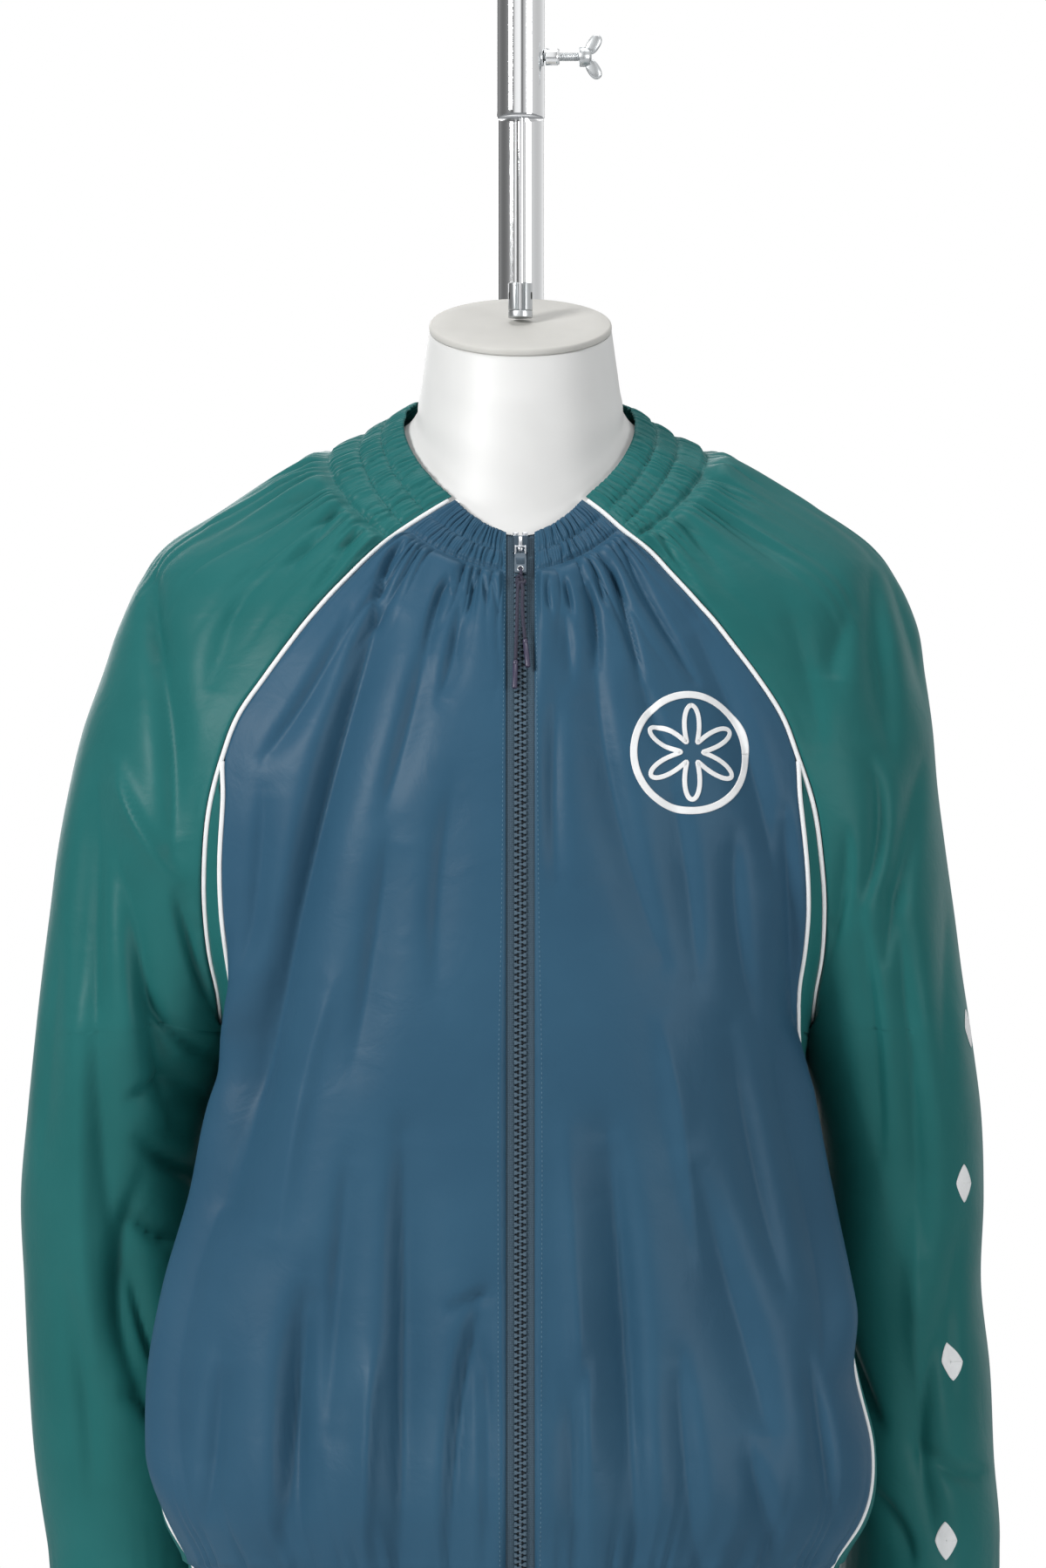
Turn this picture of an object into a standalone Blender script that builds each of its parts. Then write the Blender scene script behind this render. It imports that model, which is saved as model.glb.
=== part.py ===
"""Windbreaker with raglan sleeves, zipped up on a limbless torso form that hangs from a bent pole.

Metres, +Z up. The front of the garment faces -Y and its right-hand side in front view is +X.
The origin is on the floor, straight below the hanging rod.
"""
import math

import bmesh
import bpy
import numpy as np
from mathutils import Matrix, Vector

# ---------------------------------------------------------------- driving sizes
WALL = 0.0012             # thickness of the cloth
SEAM_GAP = 0.0003         # room between neighbouring pieces
PIPING_RADIUS = 0.0015
SEAM_ALLOW = PIPING_RADIUS + SEAM_GAP   # from a piped seam line to the cloth's edge
ZIP_HALF = 0.008          # half of the width that the zip shows
NECK_H = 1.4435           # height of the neck edge at the sides
BAND_H = 1.430            # height of the lowest stitch row of the neck casing, at the sides
SPLIT_H = 1.2705          # where the side panels' tongues end
UNDERARM_H = 1.095
HEM_TOP_H = 0.795
HEM_H = 0.755
CUFF_TOP_H = 0.745
CUFF_H = 0.705

# Sections of the body, one row each: the ring's height at the sides, then the depth and height
# of its centre front and centre back, the depth of its widest line, and how square each half is.
BODY = {
    "h":       (1.4435, 1.430, 1.414, 1.393, 1.3535, 1.30, 1.2705, 1.235, 1.165, 1.095,
                1.03, 0.96, 0.89, 0.83, 0.795, 0.755),
    "front_y": (-0.078, -0.090, -0.102, -0.1115, -0.1215, -0.1285, -0.1305, -0.1325, -0.134, -0.135,
                -0.133, -0.1325, -0.1355, -0.139, -0.130, -0.123),
    "front_z": (1.3765, 1.355, 1.3355, 1.313, 1.284, 1.2515, 1.235, 1.212, 1.161, 1.095,
                1.03, 0.96, 0.89, 0.83, 0.795, 0.755),
    "back_y":  (0.075, 0.088, 0.0985, 0.106, 0.113, 0.116, 0.116, 0.115, 0.110, 0.106,
                0.096, 0.094, 0.106, 0.118, 0.113, 0.108),
    "back_z":  (1.465, 1.437, 1.405, 1.376, 1.333, 1.289, 1.266, 1.235, 1.166, 1.095,
                1.03, 0.96, 0.89, 0.83, 0.795, 0.755),
    "side_y":  (0.0, 0.003, 0.006, 0.009, 0.011, 0.011, 0.011, 0.011, 0.011, 0.011,
                -0.006, -0.028, -0.040, -0.045, -0.035, -0.028),
    "front_power": (2.0, 2.0, 2.0, 2.0, 2.0, 2.0, 2.0, 2.05, 2.25, 2.6,
                    2.6, 2.4, 2.3, 2.2, 2.2, 2.2),
    "back_power":  (2.0, 2.0, 2.0, 2.0, 2.0, 2.0, 2.0, 2.1, 2.35, 2.5,
                    2.1, 1.85, 1.75, 1.7, 1.75, 1.8),
}
# Half width of the body under the arms.
WAIST = {
    "h":     (1.095, 1.05, 1.0, 0.95, 0.90, 0.86, 0.82, 0.795, 0.755),
    "left":  (0.163, 0.1745, 0.1815, 0.194, 0.2022, 0.203, 0.2005, 0.187, 0.178),
    "right": (0.160, 0.1645, 0.171, 0.1807, 0.192, 0.201, 0.196, 0.180, 0.173),
}
# The seam round each armhole: its distance from the middle, and its depth on the front and
# back while it is a raglan seam. Below SPLIT_H its depth follows the sleeve's own rings.
SEAM = {
    "h":       (1.4435, 1.437, 1.430, 1.4235, 1.414, 1.4035, 1.393, 1.3745, 1.3535, 1.33,
                1.30, 1.2705, 1.235, 1.20, 1.165, 1.13, 1.11, 1.095),
    "left":    (0.038, 0.052, 0.065, 0.0735, 0.083, 0.0935, 0.1035, 0.1175, 0.1303, 0.1432,
                0.1585, 0.167, 0.1745, 0.1775, 0.1777, 0.174, 0.169, 0.163),
    "right":   (0.036, 0.047, 0.0565, 0.064, 0.0737, 0.083, 0.0925, 0.1066, 0.1194, 0.1327,
                0.147, 0.1555, 0.1646, 0.169, 0.1712, 0.1692, 0.165, 0.160),
    "front_y": (-0.058, -0.0625, -0.067, -0.070, -0.0735, -0.077, -0.080, -0.084, -0.087, -0.0885,
                -0.089, -0.089, -0.087, -0.082, -0.073, -0.055, -0.035, 0.011),
    "back_y":  (0.060, 0.067, 0.074, 0.078, 0.082, 0.086, 0.088, 0.091, 0.093, 0.094,
                0.094, 0.093, 0.092, 0.091, 0.087, 0.070, 0.052, 0.011),
}
# Angle of the seam on the sleeve's ring, from the body side: over 90 degrees it lies on the
# outer half, and 0 is the bottom of the armhole.
SEAM_ANGLE_SPLIT = 100.0
SEAM_ANGLE_NECK = 126.0
# The sleeve's rings: its outer edge, half depth and middle depth, and half width once closed.
SLEEVE = {
    "h":           (1.4435, 1.437, 1.430, 1.4235, 1.414, 1.4035, 1.393, 1.3745, 1.3535, 1.33,
                    1.30, 1.2705, 1.235, 1.20, 1.165, 1.13, 1.095, 1.05, 1.0, 0.95,
                    0.90, 0.85, 0.80, 0.765, 0.745, 0.725, 0.705),
    "outer_left":  (0.0665, 0.079, 0.0925, 0.1095, 0.128, 0.147, 0.166, 0.2005, 0.218, 0.2297,
                    0.240, 0.2505, 0.259, 0.2655, 0.270, 0.2745, 0.2785, 0.284, 0.289, 0.2875,
                    0.2855, 0.282, 0.2745, 0.268, 0.256, 0.2545, 0.253),
    "outer_right": (0.0655, 0.077, 0.090, 0.106, 0.1255, 0.1465, 0.168, 0.199, 0.2165, 0.2275,
                    0.2325, 0.2365, 0.2395, 0.244, 0.249, 0.2535, 0.2588, 0.2655, 0.268, 0.267,
                    0.2725, 0.2748, 0.278, 0.274, 0.264, 0.2625, 0.261),
}
TUBE = {
    "h":          (1.2705, 1.235, 1.20, 1.165, 1.13, 1.095, 1.065, 1.03, 0.99, 0.95, 0.90,
                   0.85, 0.80, 0.765, 0.745, 0.725, 0.705),
    "half_depth": (0.092, 0.090, 0.087, 0.083, 0.078, 0.073, 0.071, 0.070, 0.069, 0.068, 0.067,
                   0.066, 0.063, 0.059, 0.047, 0.046, 0.045),
    "middle_y":   (0.002, 0.003, 0.005, 0.007, 0.009, 0.011, 0.022, 0.034, 0.045, 0.052, 0.058,
                   0.061, 0.062, 0.061, 0.060, 0.060, 0.060),
    "half_left":  (0.09, 0.085, 0.078, 0.070, 0.063, 0.0578, 0.0545, 0.0540, 0.0550, 0.0550,
                   0.055, 0.054, 0.051, 0.047, 0.0365, 0.0355, 0.035),
    "half_right": (0.08, 0.075, 0.070, 0.062, 0.054, 0.0494, 0.0485, 0.0480, 0.0485, 0.0485,
                   0.048, 0.047, 0.046, 0.044, 0.0355, 0.0345, 0.034),
}
# Depth of the side panel's seams; they meet the armhole's at SPLIT_H.
SIDE_SEAM = {
    "h":           (1.2705, 1.235, 1.20, 1.165, 1.13, 1.1115, 1.1015, 1.095, 1.065, 1.03,
                    1.0, 0.95, 0.90, 0.86, 0.82, 0.795, 0.755),
    "front_left":  (-0.089, -0.0915, -0.0885, -0.0825, -0.072, -0.062, -0.056, -0.052, -0.047,
                    -0.043, -0.040, -0.040, -0.045, -0.052, -0.060, -0.054, -0.048),
    "front_right": (-0.089, -0.0915, -0.0885, -0.0825, -0.072, -0.062, -0.056, -0.052, -0.047,
                    -0.043, -0.040, -0.045, -0.060, -0.065, -0.067, -0.060, -0.053),
    "back":        (0.093, 0.0965, 0.0965, 0.093, 0.084, 0.076, 0.071, 0.067, 0.058, 0.050,
                    0.045, 0.042, 0.046, 0.050, 0.052, 0.050, 0.048),
}
# Heights of the rings that carry the cloth's points.
PIPING_START_H = 1.246    # ring where the side pipings start, clear of the armhole's
BODY_ROWS = (1.4235, 1.414, 1.4035, 1.390, 1.3745, 1.3535, 1.33, 1.30, 1.2705,
             PIPING_START_H, 1.235, 1.20, 1.165, 1.13, 1.1115, 1.1015, 1.095, 1.065, 1.03,
             0.995, 0.96, 0.925, 0.89, 0.855, 0.82)
BAND_ROWS = (NECK_H, 1.437, BAND_H)
HEM_ROWS = (HEM_TOP_H, 0.775, HEM_H)
TUBE_ROWS = (1.065, 1.03, 0.99, 0.95, 0.91, 0.87, 0.83, 0.79, 0.765)
CUFF_ROWS = (CUFF_TOP_H, 0.725, CUFF_H)
TONGUE_TOP_H = 1.235

# Main creases as seen from the front (face -1) or the back (face 1): start, middle and end of
# each one's line in X and Z, its half width and its depth. A negative depth is a ridge.
FOLD_COLUMNS = ("part", "face", "x0", "z0", "x1", "z1", "x2", "z2", "half_width", "depth")
FOLDS = (
    ("body", -1, -0.076, 1.340, -0.111, 1.2314, -0.165, 1.000, 0.010, 0.0075),
    ("body", -1, -0.065, 1.0398, -0.066, 0.9186, -0.0664, 0.780, 0.012, 0.0065),
    ("body", -1, -0.020, 0.9487, -0.0345, 0.8851, -0.0388, 0.790, 0.007, 0.0045),
    ("body", -1, -0.118, 0.960, -0.128, 0.890, -0.122, 0.800, 0.013, 0.0050),
    ("body", -1, 0.0422, 1.3148, 0.0514, 1.2353, 0.0791, 1.1368, 0.010, 0.0035),
    ("body", -1, 0.096, 1.325, 0.1280, 1.2571, 0.1426, 1.1853, 0.010, 0.0035),
    ("body", -1, 0.0495, 1.0398, 0.0601, 0.9317, 0.0664, 0.785, 0.011, 0.0065),
    ("body", -1, 0.0926, 1.0321, 0.1266, 0.9317, 0.1392, 0.870, 0.016, 0.0050),
    ("body", -1, 0.0250, 1.0398, 0.0325, 0.9162, 0.0369, 0.850, 0.009, -0.0030),
    ("body", 1, -0.045, 1.330, -0.060, 1.180, -0.040, 1.010, 0.014, 0.0050),
    ("body", 1, 0.060, 1.300, 0.085, 1.150, 0.055, 0.960, 0.014, 0.0050),
    ("body", 1, -0.020, 1.000, -0.030, 0.900, -0.025, 0.790, 0.012, 0.0055),
    ("body", 1, 0.050, 0.930, 0.060, 0.860, 0.058, 0.785, 0.012, 0.0050),
    ("body", 1, -0.105, 1.000, -0.115, 0.900, -0.105, 0.785, 0.013, 0.0055),
    ("body", 1, 0.115, 1.030, 0.120, 0.900, 0.105, 0.785, 0.013, 0.0050),
    ("sleeve", -1, -0.2134, 1.3294, -0.2006, 1.2686, -0.1950, 1.199, 0.010, 0.0045),
    ("sleeve", -1, -0.2323, 1.197, -0.2092, 1.1087, -0.1960, 1.045, 0.013, 0.0070),
    ("sleeve", -1, -0.2400, 1.2405, -0.2450, 1.1269, -0.2300, 0.960, 0.010, 0.0040),
    ("sleeve", -1, -0.2150, 1.010, -0.2300, 0.945, -0.2100, 0.880, 0.011, 0.0045),
    ("sleeve", -1, 0.2016, 1.366, 0.2060, 1.3131, 0.2100, 1.2563, 0.009, 0.0040),
    ("sleeve", -1, 0.1867, 1.3338, 0.1800, 1.310, 0.1773, 1.2938, 0.010, 0.0030),
    ("sleeve", -1, 0.2150, 1.170, 0.2250, 1.060, 0.2300, 0.960, 0.012, 0.0050),
    ("sleeve", -1, 0.2420, 0.930, 0.2300, 0.870, 0.2400, 0.800, 0.012, 0.0045),
    ("sleeve", 1, -0.1950, 1.330, -0.2050, 1.220, -0.2150, 1.110, 0.013, 0.0050),
    ("sleeve", 1, -0.2450, 1.080, -0.2300, 0.970, -0.2400, 0.860, 0.012, 0.0050),
    ("sleeve", 1, 0.1850, 1.330, 0.1950, 1.220, 0.2050, 1.110, 0.013, 0.0050),
    ("sleeve", 1, 0.2350, 1.060, 0.2200, 0.950, 0.2350, 0.850, 0.012, 0.0050),
)
ZIP_FLAT = 0.0145         # the fronts stay flat beside the zip as far as this
FLAT_TURN = 0.012         # width over which the creases grow from there
BAND_CALM = 0.02          # no crease reaches this near the neck edge
BAND_TURN = 0.03
SEAM_TURN = 0.03          # height over which the armhole's low form turns into the raglan seam
FRONT_STEPS = 10          # columns of points across each piece
BACK_STEPS = 8
SLEEVE_STEPS = 14
PIPING_SINK = 0.0003      # the piping's middle lies this deep under the cloth's face
PIPING_END = 0.0012       # the piping stops this far short of the neck edge and hem
ZIP_SHORT = 0.0008        # the tapes and chain end this far inside the neck edge and hem
TAPE_INNER = 0.0038
TAPE_OUTER = 0.0125
TAPE_THICK = 0.0010
CHAIN_HALF = 0.0035
CHAIN_PROUD = 0.0004
CHAIN_THICK = 0.0028
SLIDER_H = 1.4388         # ring at the slider's middle
SLIDER = (0.009, 0.0125, 0.0028)    # width, length and thickness
TAB = (0.007, 0.0130, 0.0013)
TAB_GAP = 0.0009          # from the slider's lower end to the tab
TAB_LIFT = 0.0034         # from the slider's underside to the tab's middle
BOX = (0.009, 0.0080, 0.0030)       # bottom box of the zip
BOX_H = 0.7605
KNOT = (0.0066, 0.0090, 0.0044)
KNOT_AT = 0.0252          # from the slider's middle down to the knot's middle
CORD_RADIUS = 0.00105
TIP_RADIUS = 0.0015
TIP_LENGTH = 0.017
CORD_LIFT = 0.0034        # from the cloth's face to the cord's middle
# The free ends' routes in X and Z, from the knot down.
CORD_ROUTES = {
    "long":  ((-0.0014, 1.3431), (-0.0042, 1.3350), (-0.0042, 1.3240), (-0.0030, 1.3130),
              (-0.0026, 1.3020)),
    "short": ((0.0014, 1.3429), (0.0024, 1.3340), (0.0028, 1.3240), (0.0026, 1.3140)),
}
NECK_GATHER = 0.0011      # how far a gather of the neck casing stands in and out
HEM_GATHER = 0.0024
CUFF_GATHER = 0.0018

# Torso form: one row a section, with its ring's height at the sides.
FORM = {
    "h":          (1.4985, 1.4765, 1.4575, 1.4435, 1.437, 1.430, 1.4235, 1.414, 1.4035, 1.393,
                   1.3745, 1.350, 1.31, 1.26, 1.20, 1.13, 1.06, 0.99, 0.92, 0.85,
                   0.78, 0.72, 0.68),
    "half_width": (0.0525, 0.0555, 0.0585, 0.0630, 0.0733, 0.0865, 0.1010, 0.1210, 0.1415, 0.1620,
                   0.1850, 0.1915, 0.1860, 0.1700, 0.1570, 0.1500, 0.1420, 0.1360, 0.1390, 0.1450,
                   0.1480, 0.1480, 0.1450),
    "front_y":    (-0.0560, -0.0590, -0.0610, -0.0660, -0.0725, -0.0795, -0.0850, -0.0890, -0.0930,
                   -0.0950, -0.0990, -0.1020, -0.1055, -0.1090, -0.1110, -0.1090, -0.1020, -0.0940,
                   -0.0920, -0.0940, -0.0950, -0.0940, -0.0920),
    "back_y":     (0.0560, 0.0590, 0.0620, 0.0660, 0.0740, 0.0800, 0.0850, 0.0890, 0.0920,
                   0.0940, 0.0970, 0.0990, 0.1000, 0.0990, 0.0960, 0.0910, 0.0820, 0.0760,
                   0.0800, 0.0860, 0.0860, 0.0850, 0.0830),
}
CAP_TILT = 0.36           # slope of the form's neck cap, front edge down
CAP_THICK = 0.004
FORM_STEPS = 28
FORM_POWER_TOP = 1.75     # the shoulders fall away fast in front and behind
FORM_POWER_LOW = 1.95
FORM_SINK = 0.0020        # how far the form's shoulders lie below the cloth's face

# Stand
ROD_RADIUS = 0.0025
TUBE_RADIUS = 0.014
BORE_RADIUS = 0.0028
TUBE_END_Z = 1.6205
SCREW_Z = 1.6565
BEND_Z = 1.745
BEND_RADIUS = 0.09
ROD_TOP_Z = 1.685
ROD_RISE = 0.055          # how far the rod can rise in the tube
BEND_STEPS = 14
SCREW_BORE = 0.0028
SCREW_RADIUS = 0.0025
SCREW_TIP = 0.0028        # X of the screw's tip, just clear of the rod
BOSS_RADIUS = 0.005
BOSS_START = 0.0144
BOSS_END = 0.0225
HUB_START = 0.0335
HUB_LONG = 0.0075
HUB_RADIUS = 0.0058
WING = (0.0075, 0.0125, 0.0032)     # width, length and thickness
COUPLING_RADIUS = 0.007
COUPLING_HIGH = 0.020
COUPLING_FLOOR = 0.004
BASE_RADIUS = 0.178
BASE_THICK = 0.010
BASE_Y = 0.055

BLUE = (0.045, 0.105, 0.165, 1)
GREEN = (0.028, 0.165, 0.155, 1)
WHITE = (0.85, 0.86, 0.86, 1)
ZIP_GREY = (0.05, 0.085, 0.12, 1)
CHROME = (0.75, 0.76, 0.77, 1)
FORM_WHITE = (0.82, 0.82, 0.79, 1)
CORD_PURPLE = (0.035, 0.03, 0.08, 1)

# ---------------------------------------------------------------- scene and materials
for old in list(bpy.data.objects):
    bpy.data.objects.remove(old, do_unlink=True)
PARTS = bpy.data.collections.new("windbreaker_on_form")
CUTTERS = bpy.data.collections.new("cutters")
bpy.context.scene.collection.children.link(PARTS)
bpy.context.scene.collection.children.link(CUTTERS)


def material(name, colour, roughness, metallic=0.0):
    """A Principled material with one colour."""
    made = bpy.data.materials.new(name)
    made.use_nodes = True
    shader = made.node_tree.nodes["Principled BSDF"]
    shader.inputs["Base Color"].default_value = colour
    shader.inputs["Roughness"].default_value = roughness
    shader.inputs["Metallic"].default_value = metallic
    made.diffuse_color = colour
    return made


def add_object(name, mesh, colour, roughness=0.5, metallic=0.0):
    """Put a mesh or curve in the parts collection with its own material."""
    made = bpy.data.objects.new(name, mesh)
    mesh.materials.append(material(name, colour, roughness, metallic))
    PARTS.objects.link(made)
    return made


# ---------------------------------------------------------------- curves through the tables
def through(table, column, h):
    """Smooth value of a table's column at height h: cubic pieces whose slopes are central."""
    xs = np.array(table["h"])[::-1]
    ys = np.array(table[column])[::-1]
    slope = np.gradient(ys, xs)
    h = np.clip(np.asarray(h, float), xs[0], xs[-1])
    i = np.clip(np.searchsorted(xs, h) - 1, 0, len(xs) - 2)
    step = xs[i + 1] - xs[i]
    t = (h - xs[i]) / step
    return ((1 + 2 * t) * (1 - t) ** 2 * ys[i] + t * (1 - t) ** 2 * step * slope[i]
            + t * t * (3 - 2 * t) * ys[i + 1] + t * t * (t - 1) * step * slope[i + 1])


def smooth(t):
    """0 below 0, 1 above 1 and an even turn between."""
    t = np.clip(t, 0.0, 1.0)
    return t * t * (3 - 2 * t)


def ring_height(h, y):
    """Height of a ring at depth y: the parabola through centre front, side and centre back."""
    front, back = -through(BODY, "front_y", h), through(BODY, "back_y", h)
    drop_front = h - through(BODY, "front_z", h)
    drop_back = h - through(BODY, "back_z", h)
    saddle = (drop_front / front + drop_back / back) / (front + back)
    tilt = drop_front / front - saddle * front
    return h + tilt * y - saddle * y * y


def armhole_angle(h):
    """Angle of the armhole seam on the sleeve's ring, in radians."""
    t = (np.asarray(h, float) - UNDERARM_H) / (SPLIT_H - UNDERARM_H)
    low = np.clip(t, 0.0, 1.0)
    bottom = 90.0 * np.sqrt(low * (2 - low)) + (SEAM_ANGLE_SPLIT - 90.0) * low ** 2
    rise = smooth((h - SPLIT_H) / (NECK_H - SPLIT_H))
    return np.radians(bottom + (SEAM_ANGLE_NECK - SEAM_ANGLE_SPLIT) * rise)


def seam_depths(h):
    """Depth of the armhole seam on the front and on the back at ring h."""
    angle = armhole_angle(h)
    middle, half = through(TUBE, "middle_y", h), through(TUBE, "half_depth", h)
    front_low, back_low = middle - half * np.sin(angle), middle + half * np.sin(angle)
    high = smooth((h - SPLIT_H + SEAM_TURN) / SEAM_TURN)
    front = front_low + (through(SEAM, "front_y", h) - front_low) * high
    back = back_low + (through(SEAM, "back_y", h) - back_low) * high
    return front, back


def body_angle_at(h, y):
    """Angle of depth y on the body's ring h."""
    side_y = through(BODY, "side_y", h)
    front, back = side_y - through(BODY, "front_y", h), through(BODY, "back_y", h) - side_y
    powers = through(BODY, "front_power", h), through(BODY, "back_power", h)
    ahead = np.arcsin(np.clip((side_y - y) / front, 0.0, 1.0) ** (powers[0] / 2))
    behind = np.arcsin(np.clip((y - side_y) / back, 0.0, 1.0) ** (powers[1] / 2))
    return np.where(y < side_y, ahead, -behind)


def body_half_width(side, h, rear):
    """Half width of the body's ring: from the seam above the underarm, and tabled below."""
    front, back = seam_depths(h)
    angle = np.where(rear, -body_angle_at(h, back), body_angle_at(h, front))
    power = np.where(rear, through(BODY, "back_power", h), through(BODY, "front_power", h))
    above = through(SEAM, side, h) / np.cos(angle) ** (2 / power)
    return np.where(h > UNDERARM_H, above, through(WAIST, side, h))


def body_base(side, h, angle):
    """Point of the smooth body: a superellipse ring, wider ahead than behind."""
    h, angle = np.broadcast_arrays(np.asarray(h, float), np.asarray(angle, float))
    rear = angle < 0
    power = np.where(rear, through(BODY, "back_power", h), through(BODY, "front_power", h))
    side_y = through(BODY, "side_y", h)
    depth = np.where(rear, through(BODY, "back_y", h) - side_y, side_y - through(BODY, "front_y", h))
    x = body_half_width(side, h, rear) * np.abs(np.cos(angle)) ** (2 / power)
    y = side_y - depth * np.sign(angle) * np.abs(np.sin(angle)) ** (2 / power)
    sign = -1.0 if side == "left" else 1.0
    return np.stack([sign * x, y, ring_height(h, y)], -1)


def sleeve_base(side, h, angle):
    """Point of the smooth sleeve: an ellipse whose angle runs from the body, round the front."""
    h, angle = np.broadcast_arrays(np.asarray(h, float), np.asarray(angle, float))
    outer = through(SLEEVE, "outer_" + side, h)
    seam = armhole_angle(h)
    fitted = (outer - through(SEAM, side, h)) / (1 + np.cos(seam))
    half = np.where(h > UNDERARM_H, fitted, through(TUBE, "half_" + side, h))
    blend = smooth((h - SPLIT_H + SEAM_TURN) / SEAM_TURN)
    front, back = through(SEAM, "front_y", h), through(SEAM, "back_y", h)
    low_depth, low_middle = through(TUBE, "half_depth", h), through(TUBE, "middle_y", h)
    high_depth = (back - front) / (2 * np.maximum(np.sin(seam), 0.2))
    depth = low_depth + (high_depth - low_depth) * blend
    middle = low_middle + ((front + back) / 2 - low_middle) * blend
    x = outer - half - half * np.cos(angle)
    y = middle - depth * np.sin(angle)
    sign = -1.0 if side == "left" else 1.0
    return np.stack([sign * x, y, ring_height(h, y)], -1)


def fold_depth(part, base, normal):
    """How far the creases push each point in, from its distance to every crease's line."""
    total = np.zeros(base.shape[:-1])
    t = np.linspace(0, 1, 25)[:, None]
    for row in FOLDS:
        fold = dict(zip(FOLD_COLUMNS, row))
        if fold["part"] != part:
            continue
        a = np.array((fold["x0"], fold["z0"]))
        c = np.array((fold["x2"], fold["z2"]))
        b = 2 * np.array((fold["x1"], fold["z1"])) - (a + c) / 2
        line = (1 - t) ** 2 * a + 2 * t * (1 - t) * b + t * t * c
        away = base[..., None, (0, 2)] - line
        distance = np.sqrt((away ** 2).sum(-1))
        nearest = distance.argmin(-1)
        along = t[nearest, 0]
        taper = np.sqrt(np.sin(np.pi * np.clip(along, 0.03, 0.97)))
        facing = smooth(fold["face"] * normal[..., 1] / 0.35)
        bell = np.exp(-(distance.min(-1) / fold["half_width"]) ** 2)
        total += fold["depth"] * taper * facing * bell
    return total


def surface(part, side, h, angle):
    """Points and outward normals of the creased cloth."""
    shape = body_base if part == "body" else sleeve_base
    step_h, step_a = 0.0008, 0.004
    h, angle = np.broadcast_arrays(np.asarray(h, float), np.asarray(angle, float))
    base = shape(side, h, angle)
    over = shape(side, np.minimum(h + step_h, NECK_H), angle) - shape(side, h - step_h, angle)
    turned = shape(side, h, angle + step_a) - shape(side, h, angle - step_a)
    normal = np.cross(over, turned)
    normal /= np.maximum(np.linalg.norm(normal, axis=-1, keepdims=True), 1e-12)
    centre = through(BODY, "side_y", h)
    outward = base - np.stack([np.zeros_like(centre), centre, base[..., 2]], -1)
    if part == "sleeve":
        middle = shape(side, h, np.zeros_like(h)) + shape(side, h, np.full_like(h, np.pi))
        closed = (h <= UNDERARM_H + 0.06)[..., None]
        outward = np.where(closed, base - middle / 2, outward)
    normal *= np.where((normal * outward).sum(-1, keepdims=True) < 0, -1.0, 1.0)
    near_zip = smooth((np.abs(base[..., 0]) - ZIP_FLAT) / FLAT_TURN)
    near_edge = smooth((NECK_H - BAND_CALM - h) / BAND_TURN)
    pushed = fold_depth(part, base, normal) * near_zip * near_edge
    return base - normal * pushed[..., None], normal


# ---------------------------------------------------------------- seam lines
def armhole_line(side, heights, rear):
    """Points and normals of the armhole seam on the body's surface at the given rings."""
    heights = np.asarray(heights, float)
    front, back = seam_depths(heights)
    angle = body_angle_at(heights, back if rear else front)
    return surface("body", side, heights, angle)


def side_seam_angle(side, heights, rear):
    """Angle of a side seam on the body's ring."""
    depth = through(SIDE_SEAM, "back" if rear else "front_" + side, heights)
    return body_angle_at(heights, depth)


def side_line(side, heights, rear):
    """Points and normals of a side panel's seam."""
    return surface("body", side, heights, side_seam_angle(side, heights, rear))


def shifted(points, normals, inside, distance=SEAM_ALLOW):
    """Move a seam line sideways in the surface, towards the points given as inside."""
    tangent = np.gradient(points, axis=0)
    across = np.cross(normals, tangent)
    across /= np.maximum(np.linalg.norm(across, axis=-1, keepdims=True), 1e-9)
    across *= np.sign(((inside - points) * across).sum(-1, keepdims=True))
    return points + across * distance


# ---------------------------------------------------------------- cloth panels
class Panel:
    """An open sheet of rows of points, joined by faces and thickened inwards."""

    def __init__(self):
        self.points = []
        self.normals = []
        self.faces = []

    def row(self, points, normals, closed=False):
        """Add a row and return its indices; a closed row repeats its first one."""
        start = len(self.points)
        self.points.extend(map(tuple, points))
        self.normals.extend(map(tuple, normals))
        indices = list(range(start, start + len(points)))
        return indices + indices[:1] if closed else indices

    def join(self, upper, lower):
        """Faces between two rows, where one may have a whole multiple of the other's steps."""
        fine, coarse = (upper, lower) if len(upper) >= len(lower) else (lower, upper)
        times = (len(fine) - 1) // (len(coarse) - 1)
        for i in range(len(coarse) - 1):
            run = fine[i * times:(i + 1) * times + 1]
            loop = [coarse[i]] + run + [coarse[i + 1]]
            self.faces.append(loop if fine is upper else loop[::-1])

    def build(self, name, colour):
        """Turn the faces outwards, make the object and give it the cloth's thickness."""
        mesh = bpy.data.meshes.new(name)
        mesh.from_pydata(self.points, [], self.faces)
        normals = np.array(self.normals)
        agree = sum(poly.normal.dot(Vector(normals[poly.vertices[0]])) for poly in mesh.polygons)
        if agree < 0:
            mesh.flip_normals()
        mesh.shade_smooth()
        made = add_object(name, mesh, colour, 0.45)
        thick = made.modifiers.new("cloth", "SOLIDIFY")
        thick.thickness = WALL
        thick.offset = -1.0
        thick.use_even_offset = True
        return made


def wave(points, normals, size, quiet=0):
    """Push every other point of an open row in and out, and leave its ends alone."""
    count = len(points)
    sign = np.where(np.arange(count) % 2 == 1, 1.0, -1.0)
    sign[:1 + quiet] = 0.0
    sign[-1] = 0.0
    return points + normals * (sign * size)[:, None]


def refine(values, times):
    """The same run of values with each step cut into equal ones."""
    steps = len(values) - 1
    return np.interp(np.linspace(0, steps, steps * times + 1), np.arange(steps + 1), values)


def zip_angle(side, heights, x):
    """Angle on the body's ring of the line at distance x from the middle."""
    heights = np.asarray(heights, float)
    half = body_half_width(side, heights, np.zeros_like(heights, bool))
    return np.arccos((x / half) ** (through(BODY, "front_power", heights) / 2))


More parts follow.
